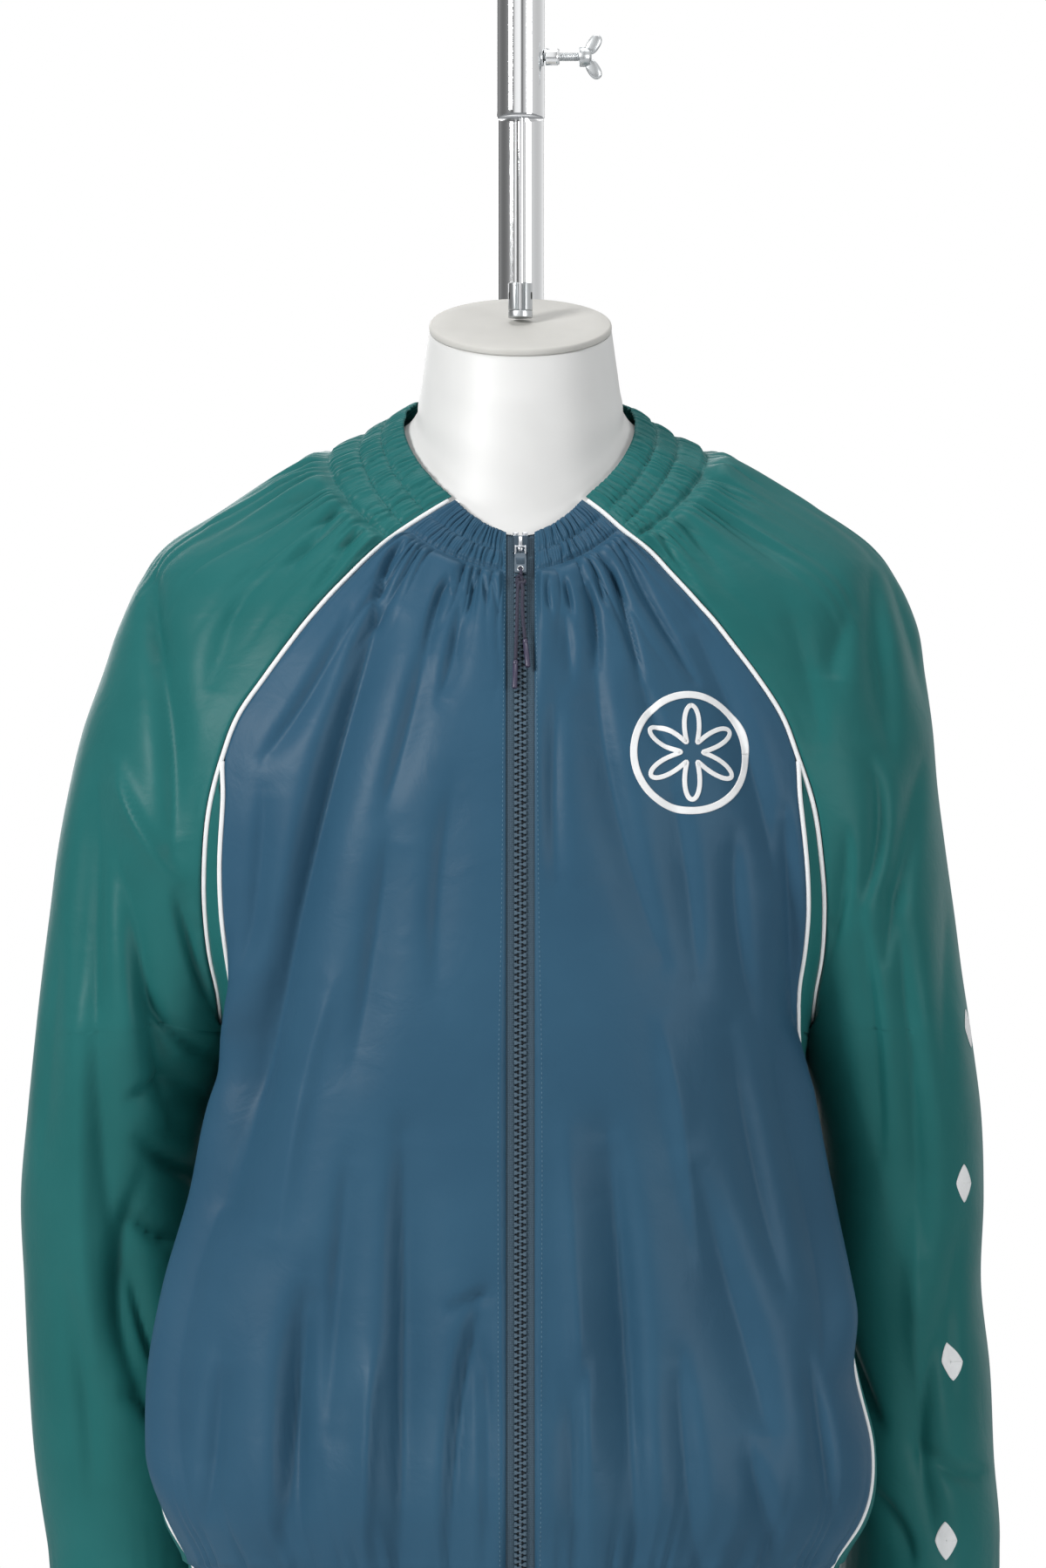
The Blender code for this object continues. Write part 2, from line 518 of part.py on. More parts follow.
def body_heights():
    """Rings of a front or back, from the neck edge to the hem."""
    return np.array(BAND_ROWS + BODY_ROWS + HEM_ROWS)


def outer_angle(side, heights, rear):
    """Outer edge of a front or back: the raglan seam, then the side panel's seam."""
    depth = seam_depths(heights)[1 if rear else 0]
    raglan = body_angle_at(heights, depth)
    return np.where(heights > SPLIT_H - 1e-6, raglan, side_seam_angle(side, heights, rear))


def cut_edge(part, side, heights, angle, inside_angle):
    """Edge of a panel: the seam line moved into the panel by the seam's allowance."""
    line = surface("body", side, heights, angle)[0]
    normal = surface(part, side, heights, angle)[1]
    inside = surface(part, side, heights, inside_angle)[0]
    return shifted(line, normal, inside)


def front_panel(side):
    """One front, flat beside the zip and gathered at the neck and hem."""
    heights = body_heights()
    beside_zip = zip_angle(side, heights, ZIP_HALF)
    flat_end = zip_angle(side, heights, ZIP_FLAT)
    outer = outer_angle(side, heights, False)
    edge = cut_edge("body", side, heights, outer, (beside_zip + outer) / 2)
    panel = Panel()
    above = None
    for i, h in enumerate(heights):
        times = 2 if h < HEM_TOP_H + 1e-6 else 1
        angle = np.append(beside_zip[i], np.linspace(flat_end[i], outer[i], FRONT_STEPS))
        points, normals = surface("body", side, h, refine(angle, times))
        points[-1] = edge[i]
        if h > BAND_H - 1e-6:
            points = wave(points, normals, NECK_GATHER, 1)
        elif times > 1:
            points = wave(points, normals, HEM_GATHER, 2)
        row = panel.row(points, normals)
        if above:
            panel.join(above, row)
        above = row
    panel.build("front_" + side, BLUE)


def back_panel():
    """The back, in one piece from one raglan seam to the other."""
    heights = body_heights()
    middle = np.full_like(heights, -math.pi / 2)
    panel = Panel()
    above = None
    edges = {}
    for side in ("left", "right"):
        outer = outer_angle(side, heights, True)
        edges[side] = outer, cut_edge("body", side, heights, outer, (outer + middle) / 2)
    for i, h in enumerate(heights):
        times = 2 if h > BAND_H - 1e-6 or h < HEM_TOP_H + 1e-6 else 1
        halves = []
        for side in ("left", "right"):
            outer, edge = edges[side]
            angle = refine(np.linspace(outer[i], -math.pi / 2, BACK_STEPS + 1), times)
            points, normals = surface("body", side, h, angle)
            points[0] = edge[i]
            halves.append((points, normals))
        points = np.concatenate([halves[0][0], halves[1][0][-2::-1]])
        normals = np.concatenate([halves[0][1], halves[1][1][-2::-1]])
        if times > 1:
            points = wave(points, normals, NECK_GATHER if h > UNDERARM_H else HEM_GATHER)
        row = panel.row(points, normals)
        if above:
            panel.join(above, row)
        above = row
    panel.build("back", BLUE)


def side_panel(side):
    """Side panel: two tongues up the armhole that meet under the arm and run to the hem."""
    heights = np.array([h for h in BODY_ROWS if h < TONGUE_TOP_H + 1e-6] + list(HEM_ROWS))
    count = int((heights > UNDERARM_H + 1e-6).sum())
    open_heights = heights[:count]
    seams = [side_seam_angle(side, heights, rear) for rear in (False, True)]
    middle = (seams[0] + seams[1]) / 2
    edges = [cut_edge("body", side, heights, seams[k], middle) for k in (0, 1)]
    depths = seam_depths(open_heights)
    arm = [body_angle_at(open_heights, depths[k]) for k in (0, 1)]
    lines = [armhole_line(side, np.append(open_heights, UNDERARM_H), bool(k))[0] for k in (0, 1)]
    loop = np.concatenate([lines[0], lines[1][-2::-1]])
    loop_h = np.concatenate([open_heights, [UNDERARM_H], open_heights[::-1]])
    loop_angle = np.concatenate([arm[0], [0.0], arm[1][::-1]])
    normal = surface("body", side, loop_h, loop_angle)[1]
    below = np.concatenate([seams[0][:count], [0.0], seams[1][:count][::-1]])
    inside = surface("body", side, np.where(loop_h > UNDERARM_H, loop_h, UNDERARM_H - 0.02), below)[0]
    loop = shifted(loop, normal, inside)
    panel = Panel()
    tongues = [None, None]
    for i, h in enumerate(open_heights):
        for k in (0, 1):
            points, normals = surface("body", side, h, np.linspace(seams[k][i], arm[k][i], 3))
            points[0] = edges[k][i]
            points[-1] = loop[i] if k == 0 else loop[-1 - i]
            points[1] = (points[0] + points[2]) / 2 if i < 2 else points[1]
            row = panel.row(points, normals)
            row = row[::-1] if k else row
            if tongues[k]:
                panel.join(tongues[k], row)
            tongues[k] = row
    above = None
    for i in range(count, len(heights)):
        times = 2 if heights[i] < HEM_TOP_H + 1e-6 else 1
        halfway = 0.0 if i == count else (seams[0][i] + seams[1][i]) / 2
        angle = np.append(np.linspace(seams[0][i], halfway, 3),
                          np.linspace(halfway, seams[1][i], 3)[1:])
        points, normals = surface("body", side, heights[i], refine(angle, times))
        points[0], points[-1] = edges[0][i], edges[1][i]
        if i == count:
            points[2] = loop[count]
        if times > 1:
            points = wave(points, normals, HEM_GATHER)
        row = panel.row(points, normals)
        if above:
            panel.join(above, row)
        else:
            panel.join(tongues[0], row[:3])
            panel.join(tongues[1], row[2:])
        above = row
    panel.build("side_" + side, GREEN)


def sleeve_panel(side):
    """Raglan sleeve: open at the top, between the seams, and a tube under the arm."""
    open_h = np.array([h for h in BAND_ROWS + BODY_ROWS if h > UNDERARM_H - 1e-6])
    seam = armhole_angle(open_h)
    front = armhole_line(side, open_h, False)[0]
    back = armhole_line(side, open_h, True)[0]
    loop = np.concatenate([front, back[-2::-1]])
    loop_h = np.concatenate([open_h, open_h[-2::-1]])
    loop_angle = np.concatenate([seam, 2 * math.pi - seam[-2::-1]])
    normal = surface("sleeve", side, loop_h, loop_angle)[1]
    inner = np.where(loop_h > UNDERARM_H, math.pi, 0.0)
    inside = surface("sleeve", side, np.where(loop_h > UNDERARM_H, loop_h, 1.07), inner)[0]
    loop = shifted(loop, normal, inside)
    panel = Panel()
    above = None
    for i, h in enumerate(open_h):
        times = 3 if h > BAND_H - 1e-6 else 1
        angle = refine(np.linspace(seam[i], 2 * math.pi - seam[i], SLEEVE_STEPS + 1), times)
        points, normals = surface("sleeve", side, h, angle)
        points[0], points[-1] = loop[i], loop[-1 - i]
        if times > 1:
            points = wave(points, normals, NECK_GATHER)
        closed = h < UNDERARM_H + 1e-6
        row = panel.row(points[:-1], normals, True) if closed else panel.row(points, normals)
        if above:
            panel.join(above, row)
        above = row
    for h in TUBE_ROWS + CUFF_ROWS:
        times = 2 if h < CUFF_TOP_H + 1e-6 else 1
        angle = np.linspace(0, 2 * math.pi, SLEEVE_STEPS * times + 1)[:-1]
        points, normals = surface("sleeve", side, h, angle)
        if times > 1:
            sign = np.where(np.arange(len(angle)) % 2 == 0, 1.0, -1.0)
            points = points + normals * (sign * CUFF_GATHER)[:, None]
        row = panel.row(points, normals, True)
        panel.join(above, row)
        above = row
    panel.build("sleeve_" + side, GREEN)


# ---------------------------------------------------------------- tubes, piping and cords
def tube(name, points, radius, colour, resolution=1, roughness=0.5, metallic=0.0):
    """A round tube with closed ends through the points."""
    curve = bpy.data.curves.new(name, "CURVE")
    curve.dimensions = "3D"
    curve.bevel_depth = radius
    curve.bevel_resolution = resolution
    curve.use_fill_caps = True
    line = curve.splines.new("POLY")
    line.points.add(len(points) - 1)
    flat = np.column_stack([points, np.ones(len(points))])
    line.points.foreach_set("co", flat.ravel())
    return add_object(name, curve, colour, roughness, metallic)


def pipings(side):
    """Piping round the armhole, and down both edges of the side panel."""
    heights = np.array([h for h in BAND_ROWS + BODY_ROWS if h > UNDERARM_H - 1e-6])
    heights[0] -= PIPING_END
    lines = [armhole_line(side, heights, rear) for rear in (False, True)]
    loop = np.concatenate([lines[0][0], lines[1][0][-2::-1]])
    normal = np.concatenate([lines[0][1], lines[1][1][-2::-1]])
    tube("armhole_piping_" + side, loop - normal * PIPING_SINK, PIPING_RADIUS, WHITE)
    rows = [h for h in BODY_ROWS if h < TONGUE_TOP_H + 1e-6] + list(HEM_ROWS)
    heights = np.array([PIPING_START_H] + rows)
    heights[-1] += PIPING_END
    for rear, word in ((False, "front"), (True, "back")):
        points, normals = side_line(side, heights, rear)
        name = "side_piping_" + word + "_" + side
        tube(name, points - normals * PIPING_SINK, PIPING_RADIUS, WHITE)


# ---------------------------------------------------------------- zip, slider and pull
def centre_front(heights):
    """Points, outward normals and downward directions along the centre front."""
    heights = np.asarray(heights, float)
    y = through(BODY, "front_y", heights)
    points = np.column_stack([np.zeros_like(y), y, ring_height(heights, y)])
    down = np.gradient(points, axis=0)
    down /= np.linalg.norm(down, axis=1, keepdims=True)
    normal = np.column_stack([np.zeros_like(y), down[:, 2], -down[:, 1]])
    return points, normal, down


def strip(name, edges, proud, thick, colour, roughness=0.5, metallic=0.0):
    """A strip down the centre front between two X values, its face proud of the cloth's."""
    heights = body_heights()
    heights[0] -= ZIP_SHORT
    heights[-1] += ZIP_SHORT
    panel = Panel()
    columns = []
    for x in edges:
        side = "left" if x < 0 else "right"
        points, normals = surface("body", side, heights, zip_angle(side, heights, abs(x)))
        columns.append((points + normals * proud, normals))
    above = None
    for i in range(len(heights)):
        row = panel.row([column[0][i] for column in columns], [column[1][i] for column in columns])
        if above:
            panel.join(above, row)
        above = row
    made = panel.build(name, colour)
    made.modifiers["cloth"].thickness = thick
    return made


def box(name, size, place, colour, roughness=0.5, metallic=0.0, bevel=0.0004):
    """A bevelled box whose place is a matrix."""
    mesh = bpy.data.meshes.new(name)
    work = bmesh.new()
    bmesh.ops.create_cube(work, size=1.0)
    bmesh.ops.scale(work, vec=Vector(size), verts=work.verts)
    work.to_mesh(mesh)
    work.free()
    made = add_object(name, mesh, colour, roughness, metallic)
    made.matrix_world = place
    edge = made.modifiers.new("edge", "BEVEL")
    edge.width = bevel
    edge.segments = 1
    return made


def place_at(point, normal, down):
    """Matrix whose X is the wearer's width, Y points out of the cloth and Z up along it."""
    up = -Vector(down)
    out = Vector(normal)
    side = out.cross(up)
    turn = Matrix((side, out, up)).transposed().to_4x4()
    return Matrix.Translation(Vector(point)) @ turn


def zip_parts():
    """Tapes, chain, slider, bottom box, pull tab and the cord knotted through it."""
    tape_in = -(WALL + SEAM_GAP)
    strip("zip_tape_left", (-TAPE_OUTER, -TAPE_INNER), tape_in, TAPE_THICK, ZIP_GREY)
    strip("zip_tape_right", (TAPE_INNER, TAPE_OUTER), tape_in, TAPE_THICK, ZIP_GREY)
    strip("zip_chain", (-CHAIN_HALF, CHAIN_HALF), CHAIN_PROUD, CHAIN_THICK, ZIP_GREY)
    points, normals, downs = centre_front([SLIDER_H + 0.002, SLIDER_H, SLIDER_H - 0.002])
    point, normal, down = points[1], normals[1], downs[1]
    base = CHAIN_PROUD + SEAM_GAP
    slider = point + normal * (base + SLIDER[2] / 2)
    box("zip_slider", (SLIDER[0], SLIDER[2], SLIDER[1]), place_at(slider, normal, down),
        ZIP_GREY, 0.35, 0.8)
    foot, out, along = (value[1] for value in centre_front([BOX_H + 0.002, BOX_H, BOX_H - 0.002]))
    box("zip_box", (BOX[0], BOX[2], BOX[1]), place_at(foot + out * (base + BOX[2] / 2), out, along),
        ZIP_GREY, 0.5)
    top = point + down * (SLIDER[1] / 2 + TAB_GAP)
    tab = top + down * TAB[1] / 2 + normal * (base + TAB_LIFT)
    box("pull_tab", (TAB[0], TAB[2], TAB[1]), place_at(tab, normal, down), ZIP_GREY, 0.3, 0.8)
    return point, normal, down


def on_front(x, z, lift):
    """Point a little ahead of the smooth front at X and Z."""
    side = "left" if x < 0 else "right"
    h = z
    for _ in range(30):
        angle = zip_angle(side, h, max(abs(x), 0.0005))
        point = body_base(side, h, angle)
        h = float(np.clip(h + z - point[2], HEM_H, NECK_H))
    points, normals = surface("body", side, h, zip_angle(side, h, max(abs(x), 0.0005)))
    return points + normals * lift


def smooth_line(points, count):
    """Points evenly along the cubic through a few points."""
    points = np.asarray(points, float)
    length = np.concatenate([[0], np.cumsum(np.linalg.norm(np.diff(points, axis=0), axis=1))])
    slope = np.gradient(points, length, axis=0)
    at = np.linspace(0, length[-1], count)
    i = np.clip(np.searchsorted(length, at) - 1, 0, len(length) - 2)
    step = (length[i + 1] - length[i])[:, None]
    t = ((at - length[i])[:, None]) / step
    return ((1 + 2 * t) * (1 - t) ** 2 * points[i] + t * (1 - t) ** 2 * step * slope[i]
            + t * t * (3 - 2 * t) * points[i + 1] + t * t * (t - 1) * step * slope[i + 1])


def pull_cord(point, normal, down):
    """The knot under the pull tab and the cord's two free ends, each in its moulded tip."""
    base = CHAIN_PROUD + SEAM_GAP
    knot = point + down * KNOT_AT + normal * (base + KNOT[2] / 2 + 0.0004)
    mesh = bpy.data.meshes.new("cord_knot")
    work = bmesh.new()
    bmesh.ops.create_uvsphere(work, u_segments=12, v_segments=8, radius=0.5)
    bmesh.ops.scale(work, vec=Vector((KNOT[0], KNOT[2], KNOT[1])), verts=work.verts)
    work.to_mesh(mesh)
    work.free()
    mesh.shade_smooth()
    made = add_object("cord_knot", mesh, CORD_PURPLE, 0.8)
    made.matrix_world = place_at(knot, normal, down)
    for name, route in CORD_ROUTES.items():
        line = [on_front(x, z, CORD_LIFT) for x, z in route]
        path = smooth_line(line, 14)
        tube("cord_" + name, path, CORD_RADIUS, CORD_PURPLE, 2, 0.8)
        along = path[-1] - path[-2]
        along /= np.linalg.norm(along)
        start = path[-1] + along * SEAM_GAP
        tip = np.array([start + along * t for t in (0, 0.0015, TIP_LENGTH - 0.0015, TIP_LENGTH)])
        tube("cord_tip_" + name, tip, TIP_RADIUS, CORD_PURPLE, 2, 0.35)


# ---------------------------------------------------------------- torso form
def form_column(name, h):
    return float(through(FORM, name, h))


def torso_form():
    """Smooth closed torso with a cut-off neck, under the garment's own neck and shoulders."""
    rows = []
    for h in FORM["h"]:
        half, front, back = (form_column(name, h) for name in ("half_width", "front_y", "back_y"))
        power = FORM_POWER_TOP + (FORM_POWER_LOW - FORM_POWER_TOP) * float(smooth((1.42 - h) / 0.1))
        power = 2.0 if h > NECK_H + 0.001 else power
        angle = np.linspace(0, 2 * math.pi, FORM_STEPS, endpoint=False)
        c, s = np.cos(angle), np.sin(angle)
        x = half * np.sign(c) * np.abs(c) ** (2 / power)
        depth = np.where(s < 0, -front, back)
        y = depth * np.sign(s) * np.abs(s) ** (2 / power)
        garment_h = min(max(h, UNDERARM_H), NECK_H)
        on_neck = float(smooth((h - NECK_H) / 0.02))
        z = h + (ring_height(garment_h, y) - garment_h) * (1 - on_neck) + CAP_TILT * y * on_neck
        rows.append(np.column_stack([x, y, z - FORM_SINK * (h < NECK_H + 0.001)]))
    closed_loft("torso_form", rows, FORM_WHITE, 0.55)
    top = rows[0]
    up = Vector((0, -CAP_TILT, 1)).normalized()
    lower = top + np.array(up) * SEAM_GAP
    centre = top.mean(axis=0)
    inset = centre + (lower - centre) * 0.985
    cap = [lower + np.array(up) * CAP_THICK * t for t in (0.75, 0.0)]
    cap.insert(0, inset + np.array(up) * CAP_THICK)
    closed_loft("neck_cap", cap, FORM_WHITE, 0.5)


def closed_loft(name, rings, colour, roughness):
    """Closed skin over rings given from the top down, with a flat polygon at each end."""
    count = len(rings[0])
    points = np.concatenate(rings)
    faces = [list(range(count)), list(range((len(rings) - 1) * count, len(rings) * count))[::-1]]
    for i in range(len(rings) - 1):
        for j in range(count):
            k = (j + 1) % count
            faces.append([i * count + j, (i + 1) * count + j, (i + 1) * count + k, i * count + k])
    mesh = bpy.data.meshes.new(name)
    mesh.from_pydata([tuple(p) for p in points], [], faces)
    work = bmesh.new()
    work.from_mesh(mesh)
    bmesh.ops.recalc_face_normals(work, faces=work.faces)
    work.to_mesh(mesh)
    work.free()
    mesh.shade_smooth()
    mesh.set_sharp_from_angle(angle=math.radians(50))
    return add_object(name, mesh, colour, roughness)


# ---------------------------------------------------------------- stand
def cylinder(name, radius, depth, place, turn=None, segments=24, cutter=False):
    """A closed cylinder, or a cutter of the same make."""
    mesh = bpy.data.meshes.new(name)
    work = bmesh.new()
    bmesh.ops.create_cone(work, cap_ends=True, segments=segments, radius1=radius, radius2=radius,
                          depth=depth)
    work.to_mesh(mesh)
    work.free()
    matrix = Matrix.Translation(Vector(place))
    if turn:
        matrix = matrix @ Matrix.Rotation(math.radians(90), 4, turn)
    if cutter:
        made = bpy.data.objects.new(name, mesh)
        CUTTERS.objects.link(made)
        made.hide_render = True
        made.display_type = "WIRE"
    else:
        mesh.shade_smooth()
        mesh.set_sharp_from_angle(angle=math.radians(40))
        made = add_object(name, mesh, CHROME, 0.12, 1.0)
    made.matrix_world = matrix
    return made


def cut(target, cutter):
    """Take a cutter out of an object."""
    tool = target.modifiers.new(cutter.name, "BOOLEAN")
    tool.operation = "DIFFERENCE"
    tool.object = cutter
    tool.solver = "EXACT"


def as_mesh(source):
    """Turn a curve object into a welded mesh object of the same name."""
    name, colour = source.name, source.data.materials[0]
    bpy.context.view_layer.update()
    evaluated = source.evaluated_get(bpy.context.evaluated_depsgraph_get())
    mesh = bpy.data.meshes.new_from_object(evaluated)
    work = bmesh.new()
    work.from_mesh(mesh)
    bmesh.ops.remove_doubles(work, verts=work.verts, dist=0.00005)
    work.to_mesh(mesh)
    work.free()
    place = source.matrix_world.copy()
    bpy.data.objects.remove(source, do_unlink=True)
    made = bpy.data.objects.new(name, mesh)
    made.matrix_world = place
    PARTS.objects.link(made)
    if not mesh.materials:
        mesh.materials.append(colour)
    mesh.set_sharp_from_angle(angle=math.radians(40))
    return made


def stand_pole():
    """One bent tube: up from the base behind the form, over, and down to the hanging rod."""
    pole_y = 2 * BEND_RADIUS
    points = [(0, pole_y, BASE_THICK + SEAM_GAP), (0, pole_y, BEND_Z)]
    for i in range(1, BEND_STEPS):
        turn = math.pi * i / BEND_STEPS
        points.append((0, BEND_RADIUS * (1 + math.cos(turn)), BEND_Z + BEND_RADIUS * math.sin(turn)))
    points += [(0, 0, BEND_Z), (0, 0, TUBE_END_Z)]
    pole = as_mesh(tube("stand_pole", np.array(points), TUBE_RADIUS, CHROME, 4, 0.12, 1.0))
    depth = ROD_TOP_Z + ROD_RISE + 0.004 - TUBE_END_Z
    bore = cylinder("rod_bore", BORE_RADIUS, depth + 0.01,
                    (0, 0, TUBE_END_Z + (depth - 0.01) / 2), None, 16, True)
    cut(pole, bore)
    hole = cylinder("screw_bore", SCREW_BORE, 0.02, (0.011, 0, SCREW_Z), "Y", 16, True)
    cut(pole, hole)


def rod_and_coupling():
    """The thin rod that slides in the tube, and the slotted coupling it stands in on the cap."""
    cap_top = FORM["h"][0] + (SEAM_GAP + CAP_THICK) * math.sqrt(1 + CAP_TILT ** 2)
    foot = cap_top + CAP_TILT * COUPLING_RADIUS + SEAM_GAP
    coupling = cylinder("rod_coupling", COUPLING_RADIUS, COUPLING_HIGH,
                        (0, 0, foot + COUPLING_HIGH / 2))
    slot = cylinder("coupling_bore", ROD_RADIUS + SEAM_GAP, COUPLING_HIGH,
                    (0, 0, foot + COUPLING_HIGH / 2 + COUPLING_FLOOR), None, 16, True)
    cut(coupling, slot)
    notch = bpy.data.objects.new("coupling_notch", bpy.data.meshes.new("coupling_notch"))
    work = bmesh.new()
    bmesh.ops.create_cube(work, size=1.0)
    bmesh.ops.scale(work, vec=Vector((0.0045, 0.03, COUPLING_HIGH)), verts=work.verts)
    work.to_mesh(notch.data)
    work.free()
    notch.location = (0, -0.015, foot + COUPLING_HIGH / 2 + COUPLING_FLOOR)
    notch.hide_render = True
    notch.display_type = "WIRE"
    CUTTERS.objects.link(notch)
    cut(coupling, notch)
    bottom = foot + COUPLING_FLOOR + SEAM_GAP
    cylinder("hanging_rod", ROD_RADIUS, ROD_TOP_Z - bottom, (0, 0, (ROD_TOP_Z + bottom) / 2),
             None, 16)


def clamp():
    """The boss on the tube and the wing screw through it that grips the rod."""
    boss = cylinder("screw_boss", BOSS_RADIUS, BOSS_END - BOSS_START,
                    ((BOSS_START + BOSS_END) / 2, 0, SCREW_Z), "Y")
    hole = cylinder("boss_bore", SCREW_BORE, 0.04, (0.02, 0, SCREW_Z), "Y", 16, True)
    cut(boss, hole)
    screw = cylinder("wing_screw", SCREW_RADIUS, HUB_START + 0.001 - SCREW_TIP,
                     ((SCREW_TIP + HUB_START + 0.001) / 2, 0, SCREW_Z), "Y", 16)
    hub = cylinder("wing_hub", HUB_RADIUS, HUB_LONG, (HUB_START + HUB_LONG / 2, 0, SCREW_Z), "Y",
                   16, True)
    join = screw.modifiers.new("hub", "BOOLEAN")
    join.operation = "UNION"
    join.object = hub
    for way in (1, -1):
        wing = bpy.data.objects.new("wing_blank", bpy.data.meshes.new("wing_blank"))
        work = bmesh.new()
        bmesh.ops.create_cone(work, cap_ends=True, segments=16, radius1=0.5, radius2=0.5, depth=1.0)
        bmesh.ops.scale(work, vec=Vector((WING[0], WING[1], WING[2])), verts=work.verts)
        bmesh.ops.rotate(work, matrix=Matrix.Rotation(math.radians(90), 3, "X"), verts=work.verts)
        work.to_mesh(wing.data)
        work.free()
        lean = Matrix.Rotation(math.radians(way * 32), 4, "Y")
        place = Vector((HUB_START + HUB_LONG * 0.55, 0, SCREW_Z))
        wing.matrix_world = Matrix.Translation(place) @ lean @ Matrix.Translation((0, 0, way * 0.0085))
        wing.hide_render = True
        wing.display_type = "WIRE"
        CUTTERS.objects.link(wing)
        join = screw.modifiers.new("wing", "BOOLEAN")
        join.operation = "UNION"
        join.object = wing


def stand_base():
    """Round weighted plate with a bevelled rim."""
    base = cylinder("stand_base", BASE_RADIUS, BASE_THICK, (0, BASE_Y, BASE_THICK / 2), None, 48)
    rim = base.modifiers.new("rim", "BEVEL")
    rim.width = 0.0025
    rim.segments = 2
    rim.limit_method = "ANGLE"


# ---------------------------------------------------------------- build it all
for which in ("left", "right"):
    front_panel(which)
    side_panel(which)
    sleeve_panel(which)
    pipings(which)
back_panel()
pull_cord(*zip_parts())
torso_form()
stand_pole()
rod_and_coupling()
clamp()
stand_base()
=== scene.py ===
# %% [markdown]
# # Windbreaker on a limbless torso form
#
# The real garment is a thin nylon jacket with raglan sleeves, a gathered neck and a moulded
# zip, pulled over a torso form that hangs from a chromed pole. Every piece here is a surface
# worked out with numpy on a grid: the cloth follows rings round the body and the sleeves, and
# creases and gathers push its points in or out along their normals.

# %% Load the fixed frame
import math

import bmesh
import bpy
import numpy as np
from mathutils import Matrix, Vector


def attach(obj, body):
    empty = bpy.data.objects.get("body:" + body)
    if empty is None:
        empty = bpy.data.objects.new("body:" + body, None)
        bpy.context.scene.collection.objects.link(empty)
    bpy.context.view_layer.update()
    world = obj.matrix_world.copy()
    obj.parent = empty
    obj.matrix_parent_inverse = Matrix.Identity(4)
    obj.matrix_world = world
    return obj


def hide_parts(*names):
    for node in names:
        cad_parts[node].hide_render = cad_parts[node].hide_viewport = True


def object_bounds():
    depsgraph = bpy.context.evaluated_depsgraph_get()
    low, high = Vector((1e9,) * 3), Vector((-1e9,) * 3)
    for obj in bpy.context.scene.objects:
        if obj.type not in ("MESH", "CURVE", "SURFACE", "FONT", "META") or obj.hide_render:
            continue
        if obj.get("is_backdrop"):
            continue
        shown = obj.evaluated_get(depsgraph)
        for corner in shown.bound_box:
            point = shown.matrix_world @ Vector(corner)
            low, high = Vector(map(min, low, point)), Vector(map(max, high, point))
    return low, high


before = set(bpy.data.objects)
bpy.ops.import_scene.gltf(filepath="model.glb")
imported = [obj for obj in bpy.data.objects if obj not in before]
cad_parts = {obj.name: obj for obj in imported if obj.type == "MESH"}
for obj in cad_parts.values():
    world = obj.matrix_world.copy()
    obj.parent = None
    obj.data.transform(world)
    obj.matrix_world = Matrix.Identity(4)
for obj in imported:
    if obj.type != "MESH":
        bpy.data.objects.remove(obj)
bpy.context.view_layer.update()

# %% [markdown]
# ## Camera
# The photograph was taken with a long lens from about four metres, level with the lower chest, so
# the lines stay nearly parallel. A lens of 160 mm from the same spot gives the same crop.

# %% Camera
CAMERA_PLACE, CAMERA_TILT = (0.0015, -4.0, 1.1155), math.radians(91.75)
lens = bpy.data.cameras.new("studio_camera")
lens.sensor_width, lens.lens, lens.clip_end = 36.0, 160.1, 60.0
camera = bpy.data.objects.new("studio_camera", lens)
camera.location = CAMERA_PLACE
camera.rotation_euler = (CAMERA_TILT, 0.0, 0.0)
bpy.context.scene.collection.objects.link(camera)
bpy.context.scene.camera = camera
print("camera", tuple(camera.location))

# %% [markdown]
# ## Light
# The picture keeps plain colours: the view is Standard, so white paper reads as white.
# Soft boxes from both sides and from above give thin nylon its broad, quiet highlights. Chrome
# shows what stands round it, so the world has a few darker bands for glossy rays alone, as the
# unlit parts of a studio give.

# %% Lamps
bpy.context.scene.view_settings.view_transform = "Standard"
LAMP_AIM = (0.0, 0.0, 1.15)
# Each square lamp's place, its size in metres and its power in watts.
LAMPS = {
    "key_box":  ((-2.3, -2.1, 2.5), 0.9, 92.0),
    "fill_box": ((2.2, -2.4, 1.5), 1.4, 32.0),
    "top_box":  ((0.2, 0.1, 3.4), 1.5, 22.0),
    "rear_box": ((-0.6, 2.6, 2.2), 1.8, 20.0),
}
for name, (place, size, watts) in LAMPS.items():
    lamp = bpy.data.lights.new(name, "AREA")
    lamp.shape, lamp.size, lamp.energy = "SQUARE", size, watts
    made = bpy.data.objects.new(name, lamp)
    made.location = place
    away = np.subtract(LAMP_AIM, place)
    flat = math.hypot(away[0], away[1])
    made.rotation_euler = (math.atan2(flat, -away[2]), 0.0, math.atan2(-away[0], away[1]))
    bpy.context.scene.collection.objects.link(made)


# %% Node helpers
def add_node(owner, kind, **inputs):
    """A node in a material's or the world's tree with its unlinked values set."""
    made = owner.node_tree.nodes.new("ShaderNode" + kind)
    for key, value in inputs.items():
        made.inputs[key.replace("_", " ")].default_value = value
    return made


def link(owner, source, target):
    owner.node_tree.links.new(source, target)


# %% World and floor
DAYLIGHT, DAYLIGHT_STRENGTH = (0.93, 0.96, 1.0, 1.0), 0.30
